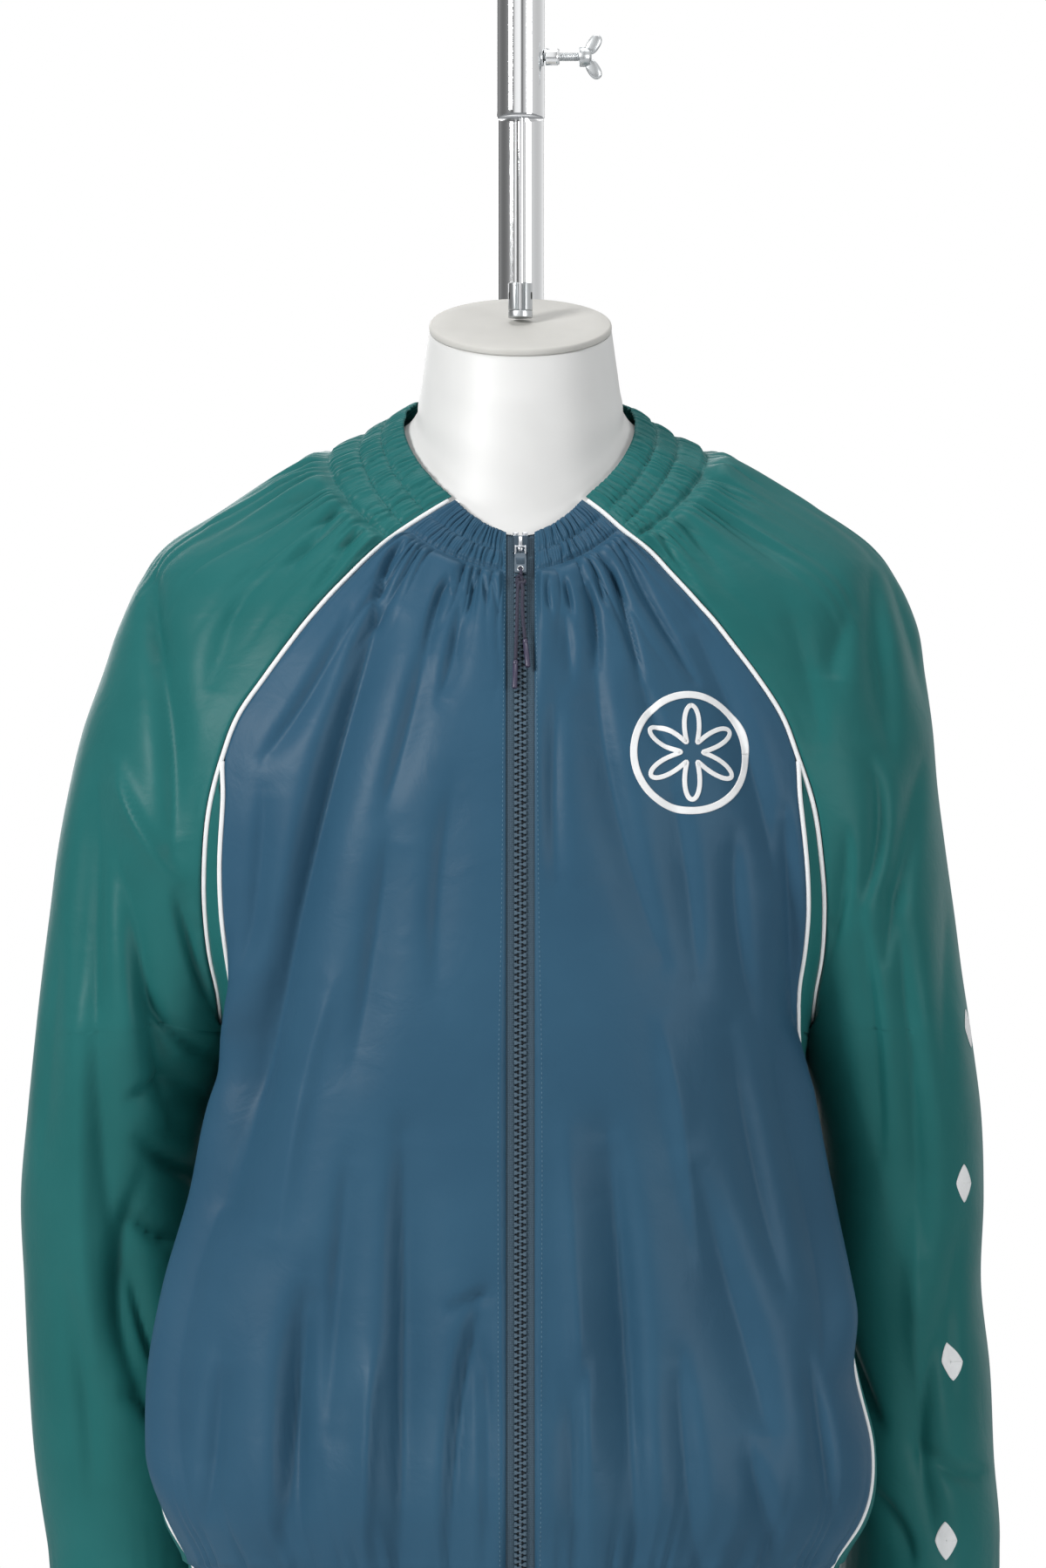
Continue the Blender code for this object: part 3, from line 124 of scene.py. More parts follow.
# What glossy rays see, from left to right: place across the world and brightness.
CHROME_BANDS = ((0.0, 0.16), (0.10, 0.30), (0.20, 0.10), (0.30, 0.95), (0.44, 1.1), (0.50, 1.0),
                (0.56, 0.12), (0.64, 0.50), (0.78, 0.95), (1.0, 0.62))
FLOOR_REACH = 9.0
world = bpy.data.worlds.new("studio")
bpy.context.scene.world = world
world.use_nodes = True
world.node_tree.nodes.clear()
direction, split = add_node(world, "TexCoord"), add_node(world, "SeparateXYZ")
spread, bands = add_node(world, "MapRange", From_Min=-1.0), add_node(world, "ValToRGB")
rays = add_node(world, "LightPath")
glossy = add_node(world, "Background", Strength=1.0)
diffuse = add_node(world, "Background", Color=DAYLIGHT, Strength=DAYLIGHT_STRENGTH)
seen = add_node(world, "Background", Color=(1.0, 1.0, 1.0, 1.0))
first_mix, second_mix = add_node(world, "MixShader"), add_node(world, "MixShader")
world_out = add_node(world, "OutputWorld")
while len(bands.color_ramp.elements) < len(CHROME_BANDS):
    bands.color_ramp.elements.new(0.5)
for element, (place, value) in zip(bands.color_ramp.elements, CHROME_BANDS):
    element.position = place
    element.color = (value, value, value, 1.0)
for source, target in ((direction.outputs["Generated"], split.inputs[0]),
                       (split.outputs["X"], spread.inputs["Value"]),
                       (spread.outputs[0], bands.inputs[0]),
                       (bands.outputs["Color"], glossy.inputs["Color"]),
                       (rays.outputs["Is Glossy Ray"], first_mix.inputs[0]),
                       (diffuse.outputs[0], first_mix.inputs[1]),
                       (glossy.outputs[0], first_mix.inputs[2]),
                       (rays.outputs["Is Camera Ray"], second_mix.inputs[0]),
                       (first_mix.outputs[0], second_mix.inputs[1]),
                       (seen.outputs[0], second_mix.inputs[2]),
                       (second_mix.outputs[0], world_out.inputs["Surface"])):
    link(world, source, target)

floor_mesh = bpy.data.meshes.new("studio_floor")
floor_mesh.from_pydata([(x * FLOOR_REACH, y * FLOOR_REACH, 0.0)
                        for x, y in ((-1, -1), (1, -1), (1, 1), (-1, 1))], [], [(0, 1, 2, 3)])
studio_floor = bpy.data.objects.new("studio_floor", floor_mesh)
bpy.context.scene.collection.objects.link(studio_floor)
studio_floor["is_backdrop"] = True
print("lamps", len(LAMPS))

# %% [markdown]
# ## Materials
# Each finish is a Principled shader whose plain values sit on the shader itself. Nodes add what
# the real finish shows: a fine weave and small wrinkles on nylon, a braid on the cord, brushed
# variation on metal. On tape, piping and cord the colour also darkens in the ribs' hollows, which
# is painted shade. Cloth reads its own UV map, in metres, so the weave follows the surface.


# %% Material helpers
def finish(name, colour, roughness, metallic=0.0, **values):
    """A Principled material and its shader; values are set on the shader's own sockets."""
    made = bpy.data.materials.new(name)
    made.use_nodes = True
    shader = made.node_tree.nodes["Principled BSDF"]
    values.update(Base_Color=(*colour, 1.0), Roughness=roughness)
    values.setdefault("Metallic", metallic)
    for key, value in values.items():
        shader.inputs[key.replace("_", " ")].default_value = value
    return made, shader


def coordinates(material, own_uv, scale=(1.0, 1.0, 1.0)):
    """Mapped coordinates: the piece's own UV map in metres, or the object's."""
    start, mapping = add_node(material, "TexCoord"), add_node(material, "Mapping", Scale=scale)
    link(material, start.outputs["UV" if own_uv else "Object"], mapping.inputs["Vector"])
    return mapping.outputs["Vector"]


def noise(material, vector, **values):
    """Soft noise at the coordinates."""
    made = add_node(material, "TexNoise", **values)
    link(material, vector, made.inputs["Vector"])
    return made.outputs["Fac"]


def two_tones(material, factor, dark, light, low, high):
    """A colour that turns from dark to light between two values of the factor."""
    ramp = add_node(material, "ValToRGB")
    for element, place, colour in zip(ramp.color_ramp.elements, (low, high), (dark, light)):
        element.position, element.color = place, (*colour, 1.0)
    link(material, factor, ramp.inputs["Fac"])
    return ramp.outputs["Color"]


def mottle(material, vector, dark, light, scale):
    """Colour that drifts between two tones with soft noise."""
    drift = noise(material, vector, Scale=scale, Detail=3.0, Roughness=0.55)
    return two_tones(material, drift, dark, light, 0.3, 0.7)


def bump(material, height, strength, distance, below=None):
    """A bump from a height, laid over another bump if one is given."""
    made = add_node(material, "Bump", Strength=strength, Distance=distance)
    link(material, height, made.inputs["Height"])
    if below is not None:
        link(material, below, made.inputs["Normal"])
    return made.outputs["Normal"]


def woven(material, vector, pitch):
    """Height of a plain weave: ridges across times ridges along, as far apart as the threads."""
    join = add_node(material, "Math")
    join.operation = "MULTIPLY"
    for socket, way in zip(join.inputs, "XY"):
        wave = add_node(material, "TexWave", Scale=0.314 / pitch, Distortion=0.4, Detail_Scale=2.0)
        wave.bands_direction = way
        link(material, vector, wave.inputs["Vector"])
        link(material, wave.outputs["Fac"], socket)
    return join.outputs[0]


def nylon(name, dark, light):
    """Thin calendered nylon: colour that drifts a little, fine wrinkles and a close weave."""
    made, shader = finish(name, light, 0.42, Specular_IOR_Level=0.12, Sheen_Weight=0.015,
                          Sheen_Roughness=0.4)
    own = coordinates(made, True)
    link(made, mottle(made, own, dark, light, 9.0), shader.inputs["Base Color"])
    soft = noise(made, own, Scale=38.0, Detail=5.0, Roughness=0.52, Distortion=0.5)
    wrinkled = bump(made, soft, 0.28, 0.0026)
    threads = bump(made, woven(made, own, 0.0005), 0.10, 0.00012, wrinkled)
    link(made, threads, shader.inputs["Normal"])
    return made


def enamel(name, colour, roughness, grain=60.0, **values):
    """A hard painted or moulded finish with slight unevenness."""
    made, shader = finish(name, colour, roughness, **values)
    place = coordinates(made, False)
    darker = tuple(0.9 * v for v in colour)
    link(made, mottle(made, place, darker, colour, grain), shader.inputs["Base Color"])
    fine = noise(made, place, Scale=grain * 14, Detail=4.0)
    link(made, bump(made, fine, 0.12, 0.0002), shader.inputs["Normal"])
    return made


def plated(name, colour, roughness):
    """Polished plating with faint smears in its roughness."""
    made, shader = finish(name, colour, roughness, 1.0)
    place = coordinates(made, False, (1.0, 1.0, 0.25))
    smears = add_node(made, "MapRange", To_Min=roughness * 0.6, To_Max=roughness * 1.7)
    link(made, noise(made, place, Scale=55.0, Detail=6.0, Roughness=0.6), smears.inputs["Value"])
    link(made, smears.outputs[0], shader.inputs["Roughness"])
    return made


def ribbed_with_painted_shade(name, dark, light, roughness, pitch, depth):
    """Tape, piping or cord: close ribs across its length on its own UV map. The colour is darker
    where the ribs are low: painted shade in their hollows.
    """
    made, shader = finish(name, light, roughness, Sheen_Weight=0.1)
    wave = woven(made, coordinates(made, True), pitch)
    # painted shade: the colour follows the ribs' height, dark in the hollows and light on the tops
    link(made, two_tones(made, wave, dark, light, 0.0, 0.55), shader.inputs["Base Color"])
    link(made, bump(made, wave, 0.55, depth), shader.inputs["Normal"])
    return made


# %% The finishes
BLUE_NYLON = nylon("blue_nylon", (0.025, 0.077, 0.131), (0.031, 0.091, 0.150))
GREEN_NYLON = nylon("green_nylon", (0.013, 0.110, 0.107), (0.017, 0.129, 0.126))
# Piping, tape and cord: the first tone of each is painted shade in the ribs' hollows, the second
# the finish's own colour.
WHITE_PIPING = ribbed_with_painted_shade("white_piping", (0.74, 0.76, 0.76), (0.86, 0.87, 0.87), 0.7, 0.0006, 0.0001)
TAPE = ribbed_with_painted_shade("zip_tape", (0.018, 0.042, 0.066), (0.046, 0.092, 0.130), 0.75, 0.0009, 0.0003)
TEETH = enamel("zip_teeth", (0.062, 0.104, 0.142), 0.36, 300.0)
SLIDER_METAL = enamel("zip_metal", (0.055, 0.085, 0.115), 0.28, 400.0, Metallic=0.6)
BRIGHT_METAL = plated("worn_metal", (0.55, 0.57, 0.60), 0.22)
CORD = ribbed_with_painted_shade("pull_cord", (0.008, 0.008, 0.022), (0.030, 0.027, 0.062), 0.7, 0.0007, 0.0002)
CORD_TIP = enamel("cord_tip", (0.044, 0.038, 0.074), 0.35, 200.0)
# A near-black sheet under the teeth: painted shade, seen in the gaps between the teeth.
CHAIN_GAP_SHADE = enamel("chain_gap_shade", (0.012, 0.020, 0.030), 0.6, 300.0)
TAB_METAL = enamel("tab_metal", (0.115, 0.150, 0.185), 0.35, 400.0, Metallic=0.5)
# The blue thread is darker than the cloth: partly the thread's own colour, partly painted shade
# along the stitch rows.
SHADED_THREAD_BLUE = enamel("blue_thread", (0.020, 0.058, 0.094), 0.7, 700.0)
THREAD_LIGHT = enamel("light_blue_thread", (0.105, 0.210, 0.285), 0.7, 700.0)
# The green thread likewise: partly its own colour, partly painted shade along the stitch rows.
SHADED_THREAD_GREEN = enamel("green_thread_painted_shade", (0.009, 0.070, 0.068), 0.7, 700.0)
SHELL = enamel("form_shell", (0.70, 0.698, 0.684), 0.48, 14.0)
CAP = enamel("form_cap", (0.56, 0.548, 0.515), 0.6, 22.0)
CHROME = plated("chrome_steel", (0.83, 0.84, 0.85), 0.075)
SATIN = plated("satin_steel", (0.55, 0.57, 0.58), 0.30)
# Near-black plugs set in the coupling's wall: painted shade where its holes are.
HOLE_SHADE = enamel("painted_hole_shade", (0.008, 0.008, 0.008), 0.6, 400.0)
BASE_STEEL = plated("base_steel", (0.60, 0.61, 0.62), 0.22)
PRINT = enamel("white_print", (0.82, 0.83, 0.83), 0.55, 120.0)
FLOOR = enamel("studio_floor", (0.84, 0.84, 0.84), 0.7, 60.0)
studio_floor.data.materials.append(FLOOR)
print("finishes", len(bpy.data.materials))

# %% [markdown]
# ## Grids and pieces
# A shape that is a function of two parameters becomes rows and columns of points. The helpers
# here give the grid its faces, its UV map in metres and its place on a body of the frame.


# %% Grid helpers
def grid_faces(rows, columns, start=0, closed=False):
    """Quads between neighbouring rows and columns; a closed grid joins its last column to its
    first."""
    index = start + np.arange(rows * columns).reshape(rows, columns)
    if closed:
        index = np.concatenate([index, index[:, :1]], 1)
    corners = (index[:-1, :-1], index[1:, :-1], index[1:, 1:], index[:-1, 1:])
    return np.stack(corners, -1).reshape(-1, 4)


def capped_faces(count, sides):
    """Faces of a tube of rings with both of its ends filled."""
    ends = np.arange(sides), ((count - 1) * sides + np.arange(sides))[::-1]
    return grid_faces(count, sides, 0, True).tolist() + [end.tolist() for end in ends]


def lengths(points):
    """Distances along each row from its first point, as an array of the grid's shape."""
    steps = np.linalg.norm(np.diff(points, axis=-2), axis=-1)
    return np.concatenate([np.zeros(steps.shape[:-1] + (1,)), np.cumsum(steps, -1)], -1)


def grid_uv(points):
    """UV in metres: across from the row's middle, and down from the first row."""
    across = lengths(points)
    across = across - across[:, -1:] / 2
    down = lengths(np.swapaxes(points, 0, 1)).mean(axis=0)
    return np.stack([across, np.broadcast_to(down[:, None], across.shape)], -1)


def hat(vectors):
    """Unit vectors along vectors, whatever their length."""
    return vectors / np.maximum(np.linalg.norm(vectors, axis=-1, keepdims=True), 1e-12)


def piece(name, points, faces, material, uv=None, outward=None, body="hung_form", smooth=True,
          stands_for=None):
    """A mesh piece that rides on a body. An open sheet is turned to face outward; a closed piece,
    which gives no outward, has its normals recalculated."""
    points = np.asarray(points, float).reshape(-1, 3)
    mesh = bpy.data.meshes.new(name)
    mesh.from_pydata(points.tolist(), [], [list(map(int, f)) for f in faces])
    if outward is not None:
        turned = np.zeros(len(mesh.polygons) * 3)
        mesh.polygons.foreach_get("normal", turned)
        first = np.array([p.vertices[0] for p in mesh.polygons])
        if (turned.reshape(-1, 3) * outward.reshape(-1, 3)[first]).sum() < 0:
            mesh.flip_normals()
    if uv is not None:
        layer = mesh.uv_layers.new(name="UVMap")
        corner = np.zeros(len(mesh.loops), int)
        mesh.loops.foreach_get("vertex_index", corner)
        layer.data.foreach_set("uv", np.asarray(uv).reshape(-1, 2)[corner].ravel())
    mesh.polygons.foreach_set("use_smooth", np.full(len(mesh.polygons), smooth))
    mesh.materials.append(material)
    if outward is None:
        work = bmesh.new()
        work.from_mesh(mesh)
        bmesh.ops.recalc_face_normals(work, faces=work.faces)
        work.to_mesh(mesh)
        work.free()
    made = bpy.data.objects.new(name, mesh)
    bpy.context.scene.collection.objects.link(made)
    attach(made, body)
    if stands_for:
        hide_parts(stands_for)
    return made


def thicken(made, wall):
    """Give an open sheet a wall that grows inwards."""
    solid = made.modifiers.new("wall", "SOLIDIFY")
    solid.thickness = wall
    solid.offset = -1.0
    return made


def ring_stack(path, wide, thick, across, other, power=2.0, sides=24):
    """Ring point = path + wide * C * across + thick * S * other, C and S with power 2/p."""
    path, across, other = (np.asarray(v, float) for v in (path, across, other))
    turn = np.linspace(0, 2 * math.pi, sides, endpoint=False)
    c = np.sign(np.cos(turn)) * np.abs(np.cos(turn)) ** (2 / power)
    s = np.sign(np.sin(turn)) * np.abs(np.sin(turn)) ** (2 / power)
    across, other = (np.broadcast_to(v, path.shape)[:, None] for v in (across, other))
    wide, thick = (np.broadcast_to(v, len(path))[:, None, None] for v in (wide, thick))
    return path[:, None] + wide * c[:, None] * across + thick * s[:, None] * other


def round_rings(path, radius, sides, across):
    """Round rings square to a path, their first points on the side that across points to."""
    tangent = hat(np.gradient(path, axis=0))
    across = np.broadcast_to(across, path.shape)
    across = hat(across - tangent * (across * tangent).sum(-1, keepdims=True))
    return ring_stack(path, radius, radius, across, np.cross(tangent, across), 2.0, sides)


def tube_piece(name, path, radius, sides, across, material, **where):
    """A closed tube along a path, its ends filled; UV runs round it and along it in metres."""
    rings = round_rings(path, radius, sides, across)
    turn = np.linspace(0, 1, sides) * 2 * math.pi * radius
    uv = np.stack(np.broadcast_arrays(turn, lengths(path)[:, None]), -1)
    return piece(name, rings, capped_faces(len(rings), sides), material, uv, **where)


print("grid test", grid_faces(3, 4).shape)

# %% [markdown]
# ## The cloth's rings
# Seen from the side the jacket is a stack of rings. A ring is named by its height at the sides,
# h, and dips at the front and rises at the back as a neckline does. Short tables give its depth
# and width; a smooth curve runs through each column. An angle then goes round the ring.

# %% Tables of the cut
WALL = 0.0007             # the cloth's thickness
SEAM_GAP = 0.0003
PIPING_RADIUS = 0.0015
SEAM_ALLOW = PIPING_RADIUS + SEAM_GAP
ZIP_HALF = 0.008
NECK_H, BAND_H, SPLIT_H, UNDERARM_H = 1.4435, 1.430, 1.2705, 1.095
HEM_TOP_H, HEM_H, CUFF_TOP_H, CUFF_H = 0.795, 0.755, 0.745, 0.705
# Sections of the body, one row each: the ring's height at the sides, then the depth and height
# of its centre front and centre back, the depth of its widest line, and how square each half is.
BODY = {
    "h":       (1.4435, 1.430, 1.414, 1.393, 1.3535, 1.30, 1.2705, 1.235, 1.165, 1.095,
                1.03, 0.96, 0.89, 0.83, 0.795, 0.755),
    "front_y": (-0.078, -0.090, -0.102, -0.1115, -0.1215, -0.1285, -0.1305, -0.1325, -0.134, -0.135,
                -0.133, -0.1325, -0.1355, -0.139, -0.130, -0.123),
    "front_z": (1.3765, 1.355, 1.3355, 1.313, 1.284, 1.2515, 1.235, 1.212, 1.161, 1.095,
                1.03, 0.96, 0.89, 0.83, 0.795, 0.755),
    "back_y":  (0.075, 0.088, 0.0985, 0.106, 0.113, 0.116, 0.116, 0.115, 0.110, 0.106,
                0.096, 0.094, 0.106, 0.118, 0.113, 0.108),
    "back_z":  (1.465, 1.437, 1.405, 1.376, 1.333, 1.289, 1.266, 1.235, 1.166, 1.095,
                1.03, 0.96, 0.89, 0.83, 0.795, 0.755),
    "side_y":  (0.0, 0.003, 0.006, 0.009, 0.011, 0.011, 0.011, 0.011, 0.011, 0.011,
                -0.006, -0.028, -0.040, -0.045, -0.035, -0.028),
    "front_power": (2.0, 2.0, 2.0, 2.0, 2.0, 2.0, 2.0, 2.05, 2.25, 2.6,
                    2.6, 2.4, 2.3, 2.2, 2.2, 2.2),
    "back_power":  (2.0, 2.0, 2.0, 2.0, 2.0, 2.0, 2.0, 2.1, 2.35, 2.5,
                    2.1, 1.85, 1.75, 1.7, 1.75, 1.8),
}
# Half width of the body under the arms.
WAIST = {
    "h":     (1.095, 1.05, 1.0, 0.95, 0.90, 0.86, 0.82, 0.795, 0.755),
    "left":  (0.163, 0.1745, 0.1815, 0.194, 0.2022, 0.203, 0.2005, 0.187, 0.178),
    "right": (0.160, 0.1645, 0.171, 0.1807, 0.192, 0.201, 0.196, 0.180, 0.173),
}
# The seam round each armhole: its distance from the middle, and its depth on the front and
# back while it is a raglan seam. Below SPLIT_H its depth follows the sleeve's own rings.
SEAM = {
    "h":       (1.4435, 1.437, 1.430, 1.4235, 1.414, 1.4035, 1.393, 1.3745, 1.3535, 1.33,
                1.30, 1.2705, 1.235, 1.20, 1.165, 1.13, 1.11, 1.095),
    "left":    (0.038, 0.052, 0.065, 0.0735, 0.083, 0.0935, 0.1035, 0.1175, 0.1303, 0.1432,
                0.1585, 0.167, 0.1745, 0.1775, 0.1777, 0.174, 0.169, 0.163),
    "right":   (0.036, 0.047, 0.0565, 0.064, 0.0737, 0.083, 0.0925, 0.1066, 0.1194, 0.1327,
                0.147, 0.1555, 0.1646, 0.169, 0.1712, 0.1692, 0.165, 0.160),
    "front_y": (-0.058, -0.0625, -0.067, -0.070, -0.0735, -0.077, -0.080, -0.084, -0.087, -0.0885,
                -0.089, -0.089, -0.087, -0.082, -0.073, -0.055, -0.035, 0.011),
    "back_y":  (0.060, 0.067, 0.074, 0.078, 0.082, 0.086, 0.088, 0.091, 0.093, 0.094,
                0.094, 0.093, 0.092, 0.091, 0.087, 0.070, 0.052, 0.011),
}
# Angle of the seam on the sleeve's ring, from the body side: over 90 degrees it lies on the
# outer half, and 0 is the bottom of the armhole.
SEAM_ANGLE_SPLIT = 100.0
SEAM_ANGLE_NECK = 126.0
# The sleeve's rings: its outer edge, half depth and middle depth, and half width once closed.
SLEEVE = {
    "h":           (1.4435, 1.437, 1.430, 1.4235, 1.414, 1.4035, 1.393, 1.3745, 1.3535, 1.33,
                    1.30, 1.2705, 1.235, 1.20, 1.165, 1.13, 1.095, 1.05, 1.0, 0.95,
                    0.90, 0.85, 0.80, 0.765, 0.745, 0.725, 0.705),
    "outer_left":  (0.0665, 0.079, 0.0925, 0.1095, 0.128, 0.147, 0.166, 0.2005, 0.218, 0.2297,
                    0.240, 0.2505, 0.259, 0.2655, 0.270, 0.2745, 0.2785, 0.284, 0.289, 0.2875,
                    0.2855, 0.282, 0.2745, 0.268, 0.256, 0.2545, 0.253),
    "outer_right": (0.0655, 0.077, 0.090, 0.106, 0.1255, 0.1465, 0.168, 0.199, 0.2165, 0.2275,
                    0.2325, 0.2365, 0.2395, 0.244, 0.249, 0.2535, 0.2588, 0.2655, 0.268, 0.267,
                    0.2725, 0.2748, 0.278, 0.274, 0.264, 0.2625, 0.261),
}
TUBE = {
    "h":          (1.2705, 1.235, 1.20, 1.165, 1.13, 1.095, 1.065, 1.03, 0.99, 0.95, 0.90,
                   0.85, 0.80, 0.765, 0.745, 0.725, 0.705),
    "half_depth": (0.092, 0.090, 0.087, 0.083, 0.078, 0.073, 0.071, 0.070, 0.069, 0.068, 0.067,
                   0.066, 0.063, 0.059, 0.047, 0.046, 0.045),
    "middle_y":   (0.002, 0.003, 0.005, 0.007, 0.009, 0.011, 0.022, 0.034, 0.045, 0.052, 0.058,
                   0.061, 0.062, 0.061, 0.060, 0.060, 0.060),
    "half_left":  (0.09, 0.085, 0.078, 0.070, 0.063, 0.0578, 0.0545, 0.0540, 0.0550, 0.0550,
                   0.055, 0.054, 0.051, 0.047, 0.0365, 0.0355, 0.035),
    "half_right": (0.08, 0.075, 0.070, 0.062, 0.054, 0.0494, 0.0485, 0.0480, 0.0485, 0.0485,
                   0.048, 0.047, 0.046, 0.044, 0.0355, 0.0345, 0.034),
}
# Depth of the side panel's seams; they meet the armhole's at SPLIT_H.
SIDE_SEAM = {
    "h":           (1.2705, 1.235, 1.20, 1.165, 1.13, 1.1115, 1.1015, 1.095, 1.065, 1.03,
                    1.0, 0.95, 0.90, 0.86, 0.82, 0.795, 0.755),
    "front_left":  (-0.089, -0.0915, -0.0885, -0.0825, -0.072, -0.062, -0.056, -0.052, -0.047,
                    -0.043, -0.040, -0.040, -0.045, -0.052, -0.060, -0.054, -0.048),
    "front_right": (-0.089, -0.0915, -0.0885, -0.0825, -0.072, -0.062, -0.056, -0.052, -0.047,
                    -0.043, -0.040, -0.045, -0.060, -0.065, -0.067, -0.060, -0.053),
    "back":        (0.093, 0.0965, 0.0965, 0.093, 0.084, 0.076, 0.071, 0.067, 0.058, 0.050,
                    0.045, 0.042, 0.046, 0.050, 0.052, 0.050, 0.048),
}
SEAM_TURN = 0.03
SIGN = {"left": -1.0, "right": 1.0}
SIDES = tuple(SIGN)


# %% Curves through the tables
def cubic(at, xs, ys):
    """Smooth value at a place on the curve through (xs, ys): cubic pieces with central slopes."""
    slope = np.gradient(ys, xs, axis=0)
    i = np.clip(np.searchsorted(xs, at) - 1, 0, len(xs) - 2)
    step = xs[i + 1] - xs[i]
    t = (at - xs[i]) / step
    if ys.ndim > 1:
        step, t = step[:, None], t[:, None]
    return ((1 + 2 * t) * (1 - t) ** 2 * ys[i] + t * (1 - t) ** 2 * step * slope[i]
            + t * t * (3 - 2 * t) * ys[i + 1] + t * t * (t - 1) * step * slope[i + 1])


def through(table, column, h):
    """Smooth value of a table's column at height h."""
    xs, ys = np.array(table["h"])[::-1], np.array(table[column])[::-1]
    return cubic(np.clip(np.asarray(h, float), xs[0], xs[-1]), xs, ys)


def smooth(t):
    """0 below 0, 1 above 1 and an even turn between."""
    t = np.clip(t, 0.0, 1.0)
    return t * t * (3 - 2 * t)


def ring_height(h, y):
    """Height of a ring at depth y: the parabola through centre front, side and centre back."""
    front, back = -through(BODY, "front_y", h), through(BODY, "back_y", h)
    drop_front = h - through(BODY, "front_z", h)
    drop_back = h - through(BODY, "back_z", h)
    saddle = (drop_front / front + drop_back / back) / (front + back)
    tilt = drop_front / front - saddle * front
    return h + tilt * y - saddle * y * y


def armhole_angle(h):
    """Angle of the armhole seam on the sleeve's ring, in radians."""
    t = (np.asarray(h, float) - UNDERARM_H) / (SPLIT_H - UNDERARM_H)
    low = np.clip(t, 0.0, 1.0)
    bottom = 90.0 * np.sqrt(low * (2 - low)) + (SEAM_ANGLE_SPLIT - 90.0) * low ** 2
    rise = smooth((h - SPLIT_H) / (NECK_H - SPLIT_H))
    return np.radians(bottom + (SEAM_ANGLE_NECK - SEAM_ANGLE_SPLIT) * rise)


def seam_depths(h):
    """Depth of the armhole seam on the front and on the back at ring h."""
    angle = armhole_angle(h)
    middle, half = through(TUBE, "middle_y", h), through(TUBE, "half_depth", h)
    front_low, back_low = middle - half * np.sin(angle), middle + half * np.sin(angle)
    high = smooth((h - SPLIT_H + SEAM_TURN) / SEAM_TURN)
    front = front_low + (through(SEAM, "front_y", h) - front_low) * high
    back = back_low + (through(SEAM, "back_y", h) - back_low) * high
    return front, back


def body_angle_at(h, y):
    """Angle of depth y on the body's ring h."""
    side_y = through(BODY, "side_y", h)
    front, back = side_y - through(BODY, "front_y", h), through(BODY, "back_y", h) - side_y
    powers = through(BODY, "front_power", h), through(BODY, "back_power", h)
    ahead = np.arcsin(np.clip((side_y - y) / front, 0.0, 1.0) ** (powers[0] / 2))
    behind = np.arcsin(np.clip((y - side_y) / back, 0.0, 1.0) ** (powers[1] / 2))
    return np.where(y < side_y, ahead, -behind)


def raw_half_width(side, h, rear):
    """Half width of the body's ring: from the seam above the underarm, and tabled below."""
    front, back = seam_depths(h)
    angle = np.where(rear, -body_angle_at(h, back), body_angle_at(h, front))
    power = np.where(rear, through(BODY, "back_power", h), through(BODY, "front_power", h))
    above = through(SEAM, side, h) / np.cos(angle) ** (2 / power)
    return np.where(h > UNDERARM_H, above, through(WAIST, side, h))


def body_half_width(side, h, rear):
    """The same, averaged over neighbouring rings near the underarm, where the two meet."""
    h = np.asarray(h, float)
    offsets = np.linspace(-0.030, 0.030, 9)
    soft = sum(raw_half_width(side, h + d, rear) for d in offsets) / len(offsets)
    raw = raw_half_width(side, h, rear)
    return raw + (soft - raw) * smooth(1.6 - np.abs(h - UNDERARM_H) / 0.028)


def body_base(side, h, angle):
    """Point of the smooth body: a superellipse ring, wider ahead than behind."""
    h, angle = np.broadcast_arrays(np.asarray(h, float), np.asarray(angle, float))
    rear = angle < 0
    power = np.where(rear, through(BODY, "back_power", h), through(BODY, "front_power", h))
    side_y = through(BODY, "side_y", h)
    ahead, behind = side_y - through(BODY, "front_y", h), through(BODY, "back_y", h) - side_y
    x = body_half_width(side, h, rear) * np.abs(np.cos(angle)) ** (2 / power)
    y = side_y - (np.where(rear, behind, ahead) * np.sign(angle)
                  * np.abs(np.sin(angle)) ** (2 / power))
    return np.stack([SIGN[side] * x, y, ring_height(h, y)], -1)


def sleeve_base(side, h, angle):
    """Point of the smooth sleeve: an ellipse whose angle runs from the body, round the front."""
    h, angle = np.broadcast_arrays(np.asarray(h, float), np.asarray(angle, float))
    outer = through(SLEEVE, "outer_" + side, h)
    seam = armhole_angle(h)
    fitted = (outer - through(SEAM, side, h)) / (1 + np.cos(seam))
    half = np.where(h > UNDERARM_H, fitted, through(TUBE, "half_" + side, h))
    blend = smooth((h - SPLIT_H + SEAM_TURN) / SEAM_TURN)
    front, back = through(SEAM, "front_y", h), through(SEAM, "back_y", h)
    low_depth, low_middle = through(TUBE, "half_depth", h), through(TUBE, "middle_y", h)
    high_depth = (back - front) / (2 * np.maximum(np.sin(seam), 0.2))
    depth = low_depth + (high_depth - low_depth) * blend
    middle = low_middle + ((front + back) / 2 - low_middle) * blend
    x = outer - half - half * np.cos(angle)
    y = middle - depth * np.sin(angle)
    return np.stack([SIGN[side] * x, y, ring_height(h, y)], -1)


def armhole_line(side, heights, rear):
    """Points and normals of the armhole seam on the body's surface at the given rings."""
    heights = np.asarray(heights, float)
    front, back = seam_depths(heights)
    angle = body_angle_at(heights, back if rear else front)
    return surface("body", side, heights, angle)


def side_seam_angle(side, heights, rear):
    """Angle of a side seam on the body's ring."""
    depth = through(SIDE_SEAM, "back" if rear else "front_" + side, heights)
    return body_angle_at(heights, depth)


def side_line(side, heights, rear):
    """Points and normals of a side panel's seam."""
    return surface("body", side, heights, side_seam_angle(side, heights, rear))


